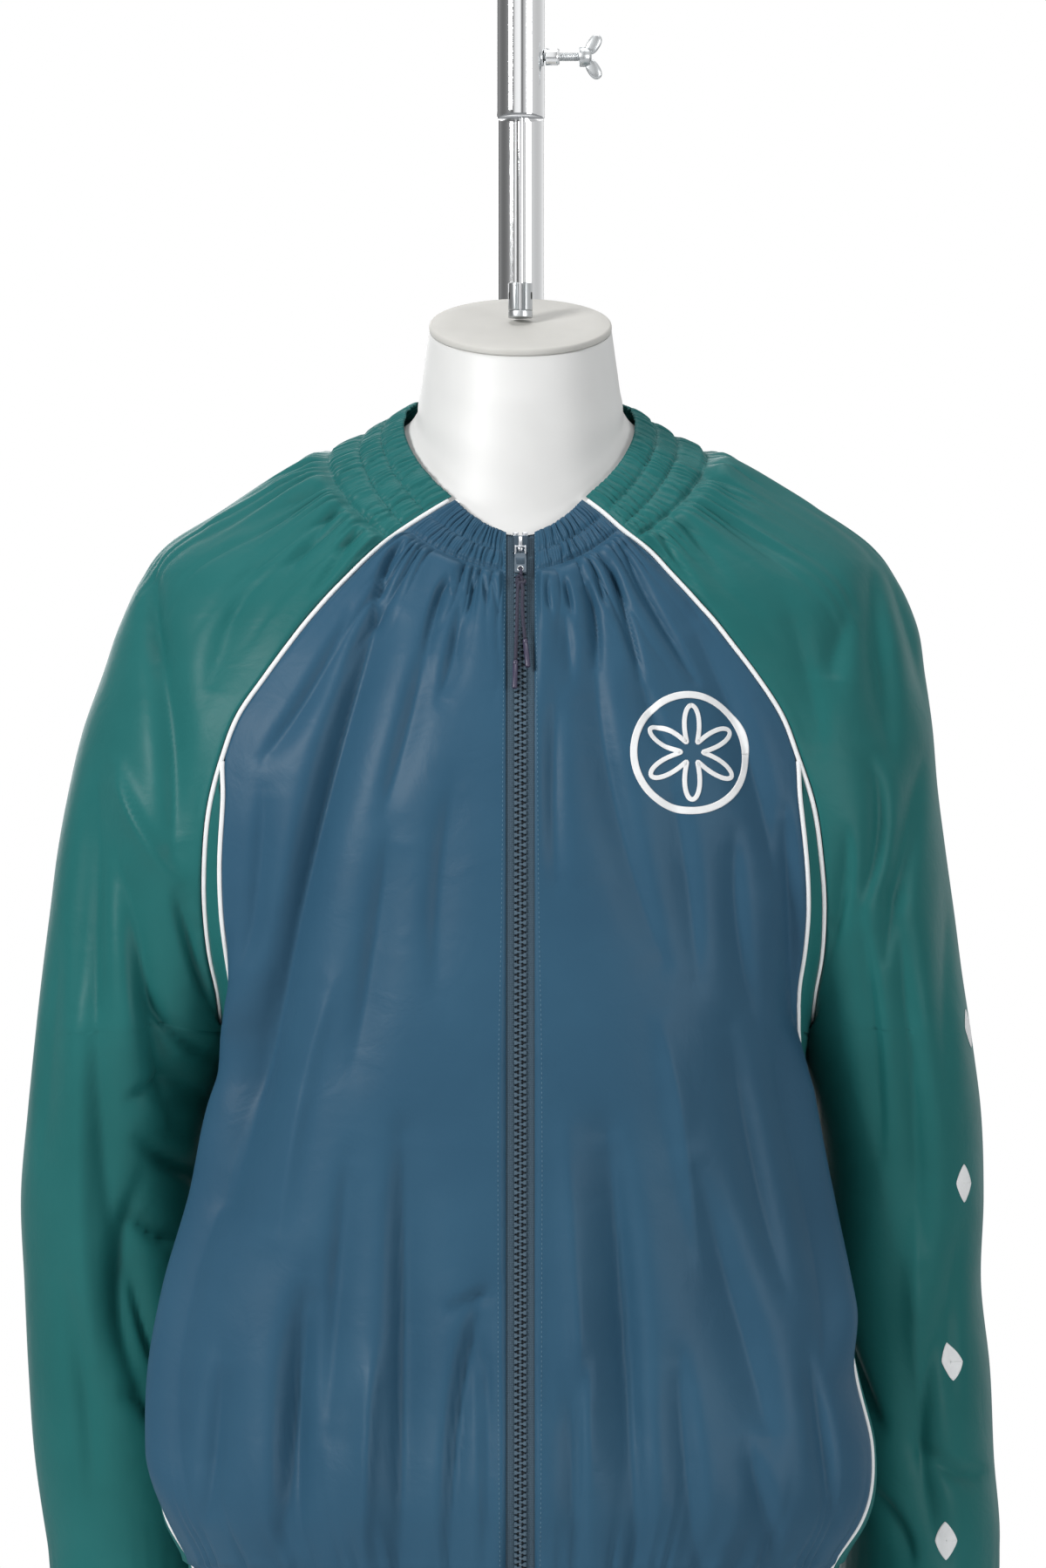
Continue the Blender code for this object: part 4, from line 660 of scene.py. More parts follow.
def shifted(points, normals, inside, distance=SEAM_ALLOW):
    """Move a seam line sideways in the surface, towards the points given as inside."""
    tangent = np.gradient(points, axis=0)
    across = np.cross(normals, tangent)
    across /= np.maximum(np.linalg.norm(across, axis=-1, keepdims=True), 1e-9)
    across *= np.sign(((inside - points) * across).sum(-1, keepdims=True))
    return points + across * distance


def zip_angle(side, heights, x):
    """Angle on the body's ring of the line at distance x from the middle."""
    heights = np.asarray(heights, float)
    half = body_half_width(side, heights, np.zeros_like(heights, bool))
    return np.arccos((x / half) ** (through(BODY, "front_power", heights) / 2))


def outer_angle(side, heights, rear):
    """Outer edge of a front or back: the raglan seam, then the side panel's seam."""
    depth = seam_depths(heights)[1 if rear else 0]
    raglan = body_angle_at(heights, depth)
    return np.where(heights > SPLIT_H - 1e-6, raglan, side_seam_angle(side, heights, rear))


# %% [markdown]
# ## Creases
# A long crease in thin nylon is a soft valley that starts sharp at a seam or gather and fades.
# Each row of the table is a curved line in X and Z through three points, with a half width and a
# depth, in millimetres. A point moves in by depth * exp(-(distance / half width)^1.5), tapered at
# the line's two ends.

# %% Table of creases
# By part and face, -1 in front and 1 behind: x0, z0, x1, z1, x2, z2, half width, depth.
FOLDS = {
    ("body", -1): (
        (-76, 1340, -111, 1231.4, -165, 1000, 10, 7.5),
        (-65, 1039.8, -66, 918.6, -66.4, 780, 12, 6.5),
        (-20, 948.7, -34.5, 885.1, -38.8, 790, 7, 4.5),
        (-118, 960, -128, 890, -122, 800, 13, 5),
        (42.2, 1314.8, 51.4, 1235.3, 79.1, 1136.8, 10, 3.5),
        (96, 1325, 128, 1257.1, 142.6, 1185.3, 10, 3.5),
        (49.5, 1039.8, 60.1, 931.7, 66.4, 785, 11, 6.5),
        (92.6, 1032.1, 126.6, 931.7, 139.2, 870, 16, 5),
        (25, 1039.8, 32.5, 916.2, 36.9, 850, 9, -3),
        (-55, 1373, -73, 1362, -83, 1328, 3, 3.2),
        (-39, 1347, -46, 1339, -53, 1311, 3.5, 2.8),
        (-53, 1311, -63, 1268, -76, 1219, 8, 2.8),
        (-27, 1354, -27, 1343, -30, 1328, 2, 2.2),
        (-21, 1353, -20, 1344, -19, 1336, 1.8, 1.8),
        (-17, 1350, -14, 1340, -11, 1325, 2.2, 2.2),
        (-34, 1336, -37, 1311, -45, 1282, 5.5, 2.2),
        (-96, 1330, -119, 1287, -144, 1249, 6, 2.6),
        (-144, 1231, -149, 1181, -156, 1127, 7, 2.4),
        (-73, 1205, -82, 1147, -93, 1079, 10, 3),
        (-105, 1122, -120, 1059, -134, 982, 9, -3),
        (-37, 1234, -45, 1181, -47, 1122, 10, 2.2),
        (-96, 1025, -103, 957, -109, 875, 9, 3.4),
        (-18, 954, -28, 948, -41, 943, 3.5, 2.2),
        (-24, 923, -18, 875, -20, 802, 4.5, 2.8),
        (-81, 914, -84, 865, -86, 799, 6, -3),
        (-122, 943, -130, 875, -133, 799, 8, 3.6),
        (-168, 914, -173, 870, -177, 817, 8, 3.4),
        (16, 1349, 15, 1340, 17, 1331, 1.9, 2.2),
        (25, 1348, 27, 1340, 29, 1330, 2, 2.2),
        (36, 1347, 42, 1331, 44, 1302, 3, 3),
        (50, 1356, 58, 1335, 68, 1294, 2.6, 3),
        (58, 1364, 74, 1336, 99, 1294, 3.2, 2.8),
        (42, 1352, 45, 1343, 48, 1335, 1.7, 2),
        (24, 1330, 27, 1314, 28, 1294, 5, 1.8),
        (68, 1294, 75, 1273, 86, 1248, 5, 2),
        (21, 1282, 19, 1234, 21, 1181, 8, 1.8),
        (84, 1231, 94, 1185, 99, 1127, 9, 2.4),
        (121, 1205, 123, 1156, 133, 1098, 8, 2.6),
        (149, 1219, 154, 1166, 156, 1098, 6, 3),
        (79, 1098, 90, 1040, 101, 972, 9, -2.6),
        (118, 1098, 132, 1025, 149, 953, 9, 3),
        (89, 914, 94, 856, 99, 799, 8, 3.6),
        (128, 865, 137, 831, 142, 799, 7, 3.2),
        (12, 991, 10, 943, 14, 889, 5, 2.4),
        (36, 914, 31, 865, 33, 799, 5, 3),
        (162, 914, 171, 865, 174, 817, 6, 2.8),
    ),
    ("body", 1): (
        (-45, 1330, -60, 1180, -40, 1010, 14, 5),
        (60, 1300, 85, 1150, 55, 960, 14, 5),
        (-20, 1000, -30, 900, -25, 790, 12, 5.5),
        (50, 930, 60, 860, 58, 785, 12, 5),
        (-105, 1000, -115, 900, -105, 785, 13, 5.5),
        (115, 1030, 120, 900, 105, 785, 13, 5),
    ),
    ("sleeve", -1): (
        (-213.4, 1329.4, -200.6, 1268.6, -195, 1199, 10, 4.5),
        (-232.3, 1197, -209.2, 1108.7, -196, 1045, 13, 7),
        (-240, 1240.5, -245, 1126.9, -230, 960, 10, 4),
        (-215, 1010, -230, 945, -210, 880, 11, 4.5),
        (201.6, 1366, 206, 1313.1, 210, 1256.3, 9, 4),
        (186.7, 1333.8, 180, 1310, 177.3, 1293.8, 10, 3),
        (215, 1170, 225, 1060, 230, 960, 12, 5),
        (242, 930, 230, 870, 240, 800, 12, 4.5),
        (-83, 1426, -105, 1421, -132, 1410, 4.5, 1.8),
        (-90, 1416, -117, 1403, -153, 1381, 5, 2.2),
        (-92, 1401, -111, 1382, -138, 1347, 4.5, 2.4),
        (-82, 1388, -96, 1373, -114, 1343, 3.5, 2.2),
        (-121, 1413, -152, 1401, -183, 1377, 7, -1.8),
        (-210, 1361, -212, 1335, -208, 1305, 6, 3.4),
        (-147, 1364, -165, 1325, -177, 1285, 11, 2.2),
        (-227, 1245, -215, 1214, -193, 1181, 6, -3.4),
        (-194, 1172, -185, 1142, -174, 1113, 5, 3.4),
        (-212, 1115, -194, 1093, -176, 1082, 5, 3.6),
        (-221, 1057, -199, 1064, -178, 1057, 5, 3),
        (-217, 1032, -198, 1019, -184, 1013, 5, 3.4),
        (-220, 988, -203, 977, -190, 975, 5, 3.2),
        (-221, 956, -212, 922, -199, 892, 5.5, 3.2),
        (-226, 887, -206, 871, -198, 838, 5.5, 3.2),
        (-263, 1147, -270, 1088, -273, 1024, 8, 2.2),
        (-245, 1098, -249, 999, -243, 905, 10, -2.6),
        (-260, 950, -251, 890, -246, 831, 8, 2.6),
        (-247, 1221, -253, 1167, -255, 1108, 8, 2),
        (84, 1423, 103, 1414, 128, 1395, 4.5, 1.8),
        (89, 1404, 116, 1388, 151, 1361, 5, 2.2),
        (82, 1391, 100, 1373, 117, 1351, 4.2, 2.2),
        (74, 1383, 86, 1363, 101, 1338, 3.2, 2),
        (96, 1418, 136, 1408, 174, 1388, 7, -1.8),
        (152, 1335, 164, 1295, 169, 1256, 10, 2),
        (199, 1246, 205, 1210, 192, 1166, 6, 3),
        (230, 1250, 221, 1202, 207, 1137, 7, 3),
        (184, 1206, 183, 1177, 174, 1142, 5, 2.6),
        (192, 1156, 199, 1095, 204, 1024, 6.5, 3),
        (229, 999, 225, 940, 230, 880, 9, -2.6),
        (180, 935, 192, 899, 205, 870, 5.5, 3.4),
        (227, 859, 249, 846, 268, 840, 5.5, 3.4),
        (200, 833, 217, 811, 224, 792, 5.5, 3),
        (248, 1187, 244, 1127, 243, 1058, 8, 2),
        (252, 979, 248, 930, 250, 880, 7, 2.2),
        (209, 1364, 225, 1325, 232, 1285, 6, 2.4),
    ),
    ("sleeve", 1): (
        (-195, 1330, -205, 1220, -215, 1110, 13, 5),
        (-245, 1080, -230, 970, -240, 860, 12, 5),
        (185, 1330, 195, 1220, 205, 1110, 13, 5),
        (235, 1060, 220, 950, 235, 850, 12, 5),
    ),
}
print("creases", sum(map(len, FOLDS.values())))

# %% Creased surface
MILLIMETRE = 0.001
CREASE_GAIN, CREASE_LEAN, CREASE_ROOM = 2.0, 0.4, 4.5
ZIP_FLAT, FLAT_TURN = 0.0095, 0.010         # no creases this near the centre front
NECK_FLAT, NECK_TURN = 0.014, 0.012         # nor this near the neck's edge


def away_side(line, spots, distance):
    """From -1 to 1: 1 beside the crease on the side away from the centre front, 0 past its ends."""
    order = np.argsort(line[:, 1])
    offset = spots[:, 0] - np.interp(spots[:, 1], line[order, 1], line[order, 0])
    return np.clip(offset / np.maximum(distance, 1e-6), -1, 1) * np.sign(line[:, 0].mean())


def fold_depth(part, base, normal):
    """Sum over the creases of depth * taper(along) * exp(-(distance / width)^1.5).

    The width is smaller on the side away from the centre front, as a pulled crease is steeper
    there.
    """
    total = np.zeros(base.shape[:-1])
    flat = base[..., ::2]
    t = np.linspace(0, 1, 25)[:, None]
    for face, row in [(face, row) for face in (-1, 1) for row in FOLDS[part, face]]:
        half_width, depth = row[6] * MILLIMETRE, row[7] * MILLIMETRE
        a, middle, c = np.reshape(row[:6], (3, 2)) * MILLIMETRE
        b = 2 * middle - (a + c) / 2
        line = (1 - t) ** 2 * a + 2 * t * (1 - t) * b + t * t * c
        room = CREASE_ROOM * half_width
        near = ((flat > line.min(0) - room) & (flat < line.max(0) + room)).all(-1)
        near &= face * normal[..., 1] > 0
        if not near.any():
            continue
        # distance to the nearest piece of the line, with its place along it
        spot = flat[near][:, None]
        start, step = line[:-1], np.diff(line, axis=0)
        share = np.clip(((spot - start) * step).sum(-1) / (step ** 2).sum(-1), 0, 1)
        away = np.linalg.norm(spot - start - share[..., None] * step, axis=-1)
        best = away.argmin(1)
        rows = np.arange(len(best))
        along = (best + share[rows, best]) / (len(line) - 1)
        distance = away[rows, best]
        taper = np.sqrt(np.sin(np.pi * np.clip(along, 0.03, 0.97)))
        facing = smooth(face * normal[..., 1][near] / 0.35)
        lean = away_side(line, spot[:, 0], distance) * np.sign(depth)
        bell = np.exp(-(distance / (half_width * (1 - CREASE_LEAN * lean))) ** 1.5)
        total[near] += CREASE_GAIN * depth * taper * facing * bell
    return total


def surface(part, side, h, angle):
    """Points and outward normals of the cloth: the ring's point less its crease's depth along the
    normal."""
    shape = body_base if part == "body" else sleeve_base
    step_h, step_a = 0.0008, 0.004
    h, angle = np.broadcast_arrays(np.asarray(h, float), np.asarray(angle, float))
    base = shape(side, h, angle)
    over = shape(side, np.minimum(h + step_h, NECK_H), angle) - shape(side, h - step_h, angle)
    turned = shape(side, h, angle + step_a) - shape(side, h, angle - step_a)
    normal = hat(np.cross(over, turned))
    centre = through(BODY, "side_y", h)
    outward = base - np.stack([np.zeros_like(centre), centre, base[..., 2]], -1)
    if part == "sleeve":
        middle = shape(side, h, np.zeros_like(h)) + shape(side, h, np.full_like(h, np.pi))
        closed = (h <= UNDERARM_H + 0.06)[..., None]
        outward = np.where(closed, base - middle / 2, outward)
    normal *= np.where((normal * outward).sum(-1, keepdims=True) < 0, -1.0, 1.0)
    pushed = fold_depth(part, base, normal) * smooth((NECK_H - NECK_FLAT - h) / NECK_TURN)
    if part == "body":
        pushed = pushed * smooth((np.abs(base[..., 0]) - ZIP_FLAT) / FLAT_TURN)
    return base - normal * pushed[..., None], normal


# %% [markdown]
# ## Gathers
# An elastic threaded through a folded casing draws the cloth into many small rounded ridges with
# sharp valleys between, pinched again at each row of stitches. Below the last row they open
# into fewer, wider folds that fade. The ridge is a power of |sin|, whose valley is a cusp.


# %% Gather functions
def uneven(place, seed):
    """A smooth value from -1 to 1 along a length: three sines whose phases come from the seed."""
    k = np.array((61.0, 137.0, 233.0))
    phase = np.array((0.7, 2.1, 4.4)) * (1 + seed)
    return (np.sin(place[..., None] * k + phase) * (0.5, 0.3, 0.2)).sum(-1)


def ridges(place, pitch, seed, wobble=0.0, sharp=0.5):
    """|sin|^sharp of a length over the pitch: 0 in narrow valleys and 1 on broad ridges."""
    phase = np.pi * (place / pitch + 1.3 * uneven(place, seed) + wobble)
    return np.abs(np.sin(phase)) ** sharp


def neck_gathers(place, h, seed, rows, pitch=0.0043):
    """How far the neck casing's cloth stands out, at a length along the neck and a ring."""
    v = (NECK_H - h) / (NECK_H - BAND_H)
    last = 0.5 * rows
    channel = np.minimum(np.floor(v / 0.5), rows)
    part_way = np.clip(v / 0.5 - channel, 0, 1)
    pinch = 0.60 + 0.40 * np.sin(np.pi * part_way) ** 0.5
    shift = 0.22 * np.sin(2.3 * channel + place * 70.0) + 0.10 * np.sin(place * 300.0 + 9 * v)
    uneven_size = 0.78 + 0.42 * uneven(place * 2.1 + 0.011 * channel, seed + 3)
    small = ridges(place, pitch, seed, shift, 0.42) * uneven_size
    small += 0.22 * ridges(place, pitch * 0.46, seed + 5, 2 * shift, 0.8)
    inside = smooth((last + 0.10 - v) / 0.2)
    out = 0.0027 * small * pinch * inside
    below = np.maximum(v - last, 0)
    puff = smooth((v - last) / 0.3) * np.exp(-below / 1.2) * smooth((h - 1.345) / 0.03)
    bent = 0.16 * np.sin(place * 210.0 + 1.4 * v)
    out += puff * (0.0004 + 0.0038 * ridges(place, pitch * 1.7, seed, bent, 0.5))
    fan = smooth((v - last + 0.1) / 0.6) * np.exp(-below / 3.2) * smooth((h - 1.330) / 0.035)
    out += 0.0044 * ridges(place, pitch * 4.1, seed + 1, 0.5 * bent, 0.6) * fan
    for row in range(1, rows + 1):
        out -= 0.0007 * np.exp(-((v - 0.5 * row) / 0.045) ** 2)
    return out


def elastic_gathers(place, h, top, bottom, seed, pitch=0.0074):
    """The same for the hem and the cuffs: ridges between the casing's top and its folded edge."""
    v = (top - h) / (top - bottom)
    inside = smooth((v + 0.18) / 0.2)
    pinch = 0.45 + 0.55 * np.abs(np.sin(np.pi * np.clip(v, 0, 1) * 2)) ** 0.6
    out = 0.0028 * ridges(place, pitch, seed) * inside * pinch
    above = np.exp(-np.maximum(top - h, h - top) / 0.02) * (h > top)
    out += 0.0036 * ridges(place, pitch * 2.3, seed + 2, 0.0, 0.8) * above
    return out


def pull_edge(points, target, columns, last=True):
    """Move a grid's edge column to the target, and the columns beside it by less and less."""
    edge = points[:, -1] if last else points[:, 0]
    ramp = smooth(np.linspace(0, 1, columns))
    shift = (target - edge)[:, None] * ramp[None, :, None]
    if last:
        points[:, -columns:] += shift
    else:
        points[:, :columns] += shift[:, ::-1]
    return points


def beside(points, first=0.0035, last=0.0035):
    """0 at both edges of each row and 1 further in than the given distances."""
    along = lengths(points)
    return smooth(along / first) * smooth((along[:, -1:] - along) / last)


def column_uv(grids):
    """UV in metres of grids in a column: each starts where the one above it ends."""
    out, reached, last = [], 0.0, None
    for points, _ in grids:
        uv = grid_uv(points)
        if last is not None:
            near = last[::max(1, (len(last) - 1) // (points.shape[1] - 1))][:points.shape[1]]
            uv[..., 1] += reached + np.linalg.norm(near - points[0], axis=1).mean()
        out.append(uv.reshape(-1, 2))
        reached, last = float(uv[-1, 0, 1]), points[-1]
    return np.concatenate(out)


def joined(grids):
    """Points, normals, faces and UV of grids in a column. Each is as wide as the one above or half
    as wide, or it is a closed tube under an open grid."""
    faces, start, above = [], 0, None
    for points, _ in grids:
        rows, columns = points.shape[:2]
        tube = above is not None and columns == len(above) - 1
        faces += grid_faces(rows, columns, start, tube).tolist()
        index = start + np.arange(rows * columns).reshape(rows, columns)
        if above is not None:
            lower = np.append(index[0], index[0, 0]) if tube else index[0]
            step = 2 if len(above) > len(lower) else 1
            corners = [above[:-1:step], lower[:-1], lower[1:], above[step::step]]
            corners += [above[1::2]] if step == 2 else []
            faces += np.stack(corners, -1).tolist()
        above, start = index[-1], start + rows * columns
    flat = [np.concatenate([grid[i].reshape(-1, 3) for grid in grids]) for i in (0, 1)]
    return (*flat, faces, column_uv(grids))


def runs(*stops):
    """Heights from the top down: each stop is (height, number of rows from the one before)."""
    out = [np.array([stops[0]])]
    at = stops[0]
    for height, count in stops[1:]:
        out.append(np.linspace(at, height, count + 1)[1:])
        at = height
    return np.concatenate(out)


# %% [markdown]
# ## Fronts, back and side panels
# A front runs from the zip to the raglan seam and, lower down, to the side panel's seam. Its
# rows are spread evenly in angle between the two, and its edge column is then pulled 1.8 mm in
# from the seam's line, where the piping lies. The gathered neck has twice as many columns.

# %% Panel helpers
NECK_RINGS = runs(NECK_H, (1.4225, 36), (1.408, 14))
LOW_RINGS = runs(1.408, (1.30, 42), (SPLIT_H, 10), (HEM_TOP_H, 140), (HEM_H, 14))[1:]


def between(start, end, columns):
    """Rows that go evenly from one column of values to another."""
    return start[:, None] + (end - start)[:, None] * np.linspace(0, 1, columns)


def seam_edge(side, heights, angle, inside_angle):
    """The seam's line moved sideways into the panel."""
    line, normal = surface("body", side, heights, angle)
    return shifted(line, normal, surface("body", side, heights, inside_angle)[0])


def neck_measure(points, heights):
    """Each column's length along the row at the neck's last stitches."""
    return lengths(points)[int(np.searchsorted(-heights, -BAND_H))]


def gathered(points, normals, heights, measure, seed, pitch=0.0043, first=0.0035):
    """A block pushed out by the gathers of neck and hem, measured along its own rows."""
    out = neck_gathers(measure, heights[:, None], seed, 2, pitch)
    out += elastic_gathers(lengths(points)[-1], heights[:, None], HEM_TOP_H, HEM_H, seed)
    return points + normals * (out * beside(points, first))[..., None]


def two_blocks(make, columns):
    """A panel's two blocks: fine columns through the gathered neck and half as many below."""
    neck, measure = make(NECK_RINGS, columns * 2 - 1, None)
    return neck, make(LOW_RINGS, columns, measure[::2])[0]


def cloth(name, mesh, material):
    """A panel in the place of its solid, with the cloth's thickness."""
    points, outward, faces, uv = mesh
    made = piece(name + "_cloth", points, faces, material, uv, outward, stands_for=name)
    thicken(made, WALL)


# %% Fronts
FRONT_COLUMNS = 100
# Heights where the roll over the side seam starts, is full, begins to fade and ends.
BLOUSE = {"left": (1.165, 1.10, 0.86, 0.815), "right": (1.11, 1.06, 0.94, 0.895)}
ROLL_WIDTH, ROLL_HEIGHT = 0.034, 0.0105


def blousing(side, points, heights):
    """The front's cloth hangs in a soft roll over the side seam: a bump beside its outer edge."""
    start, full, still, end = BLOUSE[side]
    tall = smooth((start - heights) / (start - full)) * smooth((heights - end) / (still - end))
    along = lengths(points)
    from_edge = (along[:, -1:] - along) / ROLL_WIDTH
    roll = np.sin(np.pi * np.clip(from_edge, 0, 1) ** 0.55) ** 1.2
    return ROLL_HEIGHT * tall[:, None] * roll


def front_block(side, heights, columns, measure):
    """Points and normals of one block of rows, and the length along the neck by column."""
    inner, outer = zip_angle(side, heights, ZIP_HALF), outer_angle(side, heights, False)
    points, normals = surface("body", side, heights[:, None], between(inner, outer, columns))
    edge = seam_edge(side, heights, outer, (inner + outer) / 2)
    points = pull_edge(points, edge, 7 if columns == FRONT_COLUMNS else 13)
    points = points + normals * blousing(side, points, heights)[..., None]
    measure = neck_measure(points, heights) if measure is None else measure
    seed = 1 if side == "left" else 2
    return (gathered(points, normals, heights, measure, seed, first=0.004), normals), measure


front_grids = {}
for side in SIDES:
    front_grids[side] = two_blocks(lambda *block: front_block(side, *block), FRONT_COLUMNS)
    cloth("front_" + side, joined(front_grids[side]), BLUE_NYLON)
print("front", [g[0].shape for g in front_grids["left"]])

# %% Back
BACK_COLUMNS = 57


def back_block(heights, columns, measure):
    """The left half's columns and then the right's, for one block of rows."""
    middle = np.full_like(heights, -math.pi / 2)
    halves = []
    for side in SIDES:
        outer = outer_angle(side, heights, True)
        points, normals = surface("body", side, heights[:, None], between(outer, middle, columns))
        edge = seam_edge(side, heights, outer, (outer + middle) / 2)
        points = pull_edge(points, edge, 6 if columns == BACK_COLUMNS else 11, False)
        halves.append((points, normals))
    points, normals = (np.concatenate([left, right[:, -2::-1]], 1) for left, right in zip(*halves))
    measure = neck_measure(points, heights) if measure is None else measure
    return (gathered(points, normals, heights, measure, 5, 0.0050), normals), measure


back_grid = two_blocks(back_block, BACK_COLUMNS)
cloth("back", joined(back_grid), BLUE_NYLON)
print("back", [g[0].shape for g in back_grid])

# %% Side panels
TONGUE_TOP_H, TONGUE_COLUMNS, TONGUE_ROWS = 1.266, 10, 45
TONGUE_TIP = 2.6              # the seam allowance shrinks where a tongue is narrower than this
SIDE_LOW_RINGS = runs(UNDERARM_H, (1.06, 12), (HEM_TOP_H, 80), (HEM_H, 16))


def looped(pair, middle):
    """Values down the front, at the bottom and up the back."""
    return np.concatenate([pair[0], [middle], pair[1][::-1]])


def side_cloth(side):
    """Two tongues up the armhole and, below the underarm, one grid that joins them."""
    both = (False, True)
    rise = TONGUE_TOP_H - UNDERARM_H
    heights = UNDERARM_H + rise * np.linspace(1, 0, TONGUE_ROWS + 1)[:-1] ** 1.6
    seams = [side_seam_angle(side, heights, rear) for rear in both]
    arms = [body_angle_at(heights, depth) for depth in seam_depths(heights)]
    lines = [armhole_line(side, np.append(heights, UNDERARM_H), rear)[0] for rear in both]
    opposite = [side_line(side, heights, rear) for rear in both]
    loop_h = looped((heights, heights), UNDERARM_H)
    normal = surface("body", side, loop_h, looped(arms, 0.0))[1]
    lower_h = np.where(loop_h > UNDERARM_H, loop_h, UNDERARM_H - 0.02)
    inside = surface("body", side, lower_h, looped(seams, 0.0))[0]
    gaps = [np.linalg.norm(line[:-1] - seam[0], axis=1) for line, seam in zip(lines, opposite)]
    allow = [SEAM_ALLOW * np.minimum(1, gap / (TONGUE_TIP * SEAM_ALLOW)) for gap in gaps]
    loop = shifted(np.concatenate([lines[0], lines[1][-2::-1]]), normal, inside,
                   looped(allow, SEAM_ALLOW)[:, None])
    blocks = []
    for k, target in enumerate((loop[:TONGUE_ROWS], loop[:TONGUE_ROWS:-1])):
        angle = between(seams[k], arms[k], TONGUE_COLUMNS)
        points, normals = surface("body", side, heights[:, None], angle)
        edge = shifted(*opposite[k], lines[k][:-1], allow[k][:, None])
        points = pull_edge(points, target, TONGUE_COLUMNS)
        points = pull_edge(points, edge, TONGUE_COLUMNS // 2, False)
        turn = slice(None, None, -1 if k else 1)
        blocks.append((points[:, turn], normals[:, turn]))
    low = SIDE_LOW_RINGS
    front, rear = (side_seam_angle(side, low, back) for back in both)
    half = (front + rear) / 2 * smooth((UNDERARM_H - low) / 0.03)
    angle = np.concatenate([between(front, half, TONGUE_COLUMNS),
                            between(half, rear, TONGUE_COLUMNS)[:, 1:]], 1)
    points, normals = surface("body", side, low[:, None], angle)
    points = pull_edge(points, seam_edge(side, low, rear, half), 5)
    points = pull_edge(points, seam_edge(side, low, front, half), 5, False)
    # the middle of the first rows sinks to where the armhole's loop has its bottom
    drop = loop[TONGUE_ROWS] - points[0, TONGUE_COLUMNS - 1]
    fade = smooth(1 - np.abs(np.linspace(-1, 1, angle.shape[1])) * 1.6)
    sink = smooth(1 - (UNDERARM_H - low) / 0.012)
    points = points + drop * fade[None, :, None] * sink[:, None, None]
    out = elastic_gathers(lengths(points)[-1], low[:, None], HEM_TOP_H, HEM_H, 7)
    blocks.append((points + normals * (out * beside(points))[..., None], normals))
    count = TONGUE_ROWS * TONGUE_COLUMNS
    faces = [grid_faces(*block[0].shape[:2], k * count) for k, block in enumerate(blocks)]
    for k in (0, 1):
        upper = (k + 1) * count - TONGUE_COLUMNS + np.arange(TONGUE_COLUMNS)
        lower = 2 * count + k * (TONGUE_COLUMNS - 1) + np.arange(TONGUE_COLUMNS)
        faces.append(np.stack([upper[:-1], lower[:-1], lower[1:], upper[1:]], -1))
    flat = [np.concatenate([block[i].reshape(-1, 3) for block in blocks]) for i in (0, 1)]
    uv = np.concatenate([grid_uv(block[0]).reshape(-1, 2) for block in blocks])
    cloth("side_" + side, (*flat, np.concatenate(faces), uv), GREEN_NYLON)
    return blocks[-1]


side_grids = {side: side_cloth(side) for side in SIDES}
print("side", side_grids["left"][0].shape)

# %% [markdown]
# ## Raglan sleeves
# A raglan sleeve goes all the way to the neck edge, so its rings are open towards the body as far
# as the underarm and closed below. The many gathers at the neck need twice the columns of the
# rest; a row of five-cornered faces joins the two densities.

# %% Sleeves
SLEEVE_COLUMNS, UNDERARM_ZONE, SINK_REACH = 128, 0.03, 0.012
# the armhole closes as a round end, so rings crowd towards it
OPEN_RINGS = np.concatenate([runs(1.408, (1.30, 40), (UNDERARM_H + UNDERARM_ZONE, 46)),
                             UNDERARM_H + UNDERARM_ZONE * np.linspace(1, 0, 21)[1:] ** 2])[1:]
TUBE_RINGS = runs(UNDERARM_H, (1.06, 12), (0.77, 80), (CUFF_TOP_H, 12), (CUFF_H, 14))[1:]


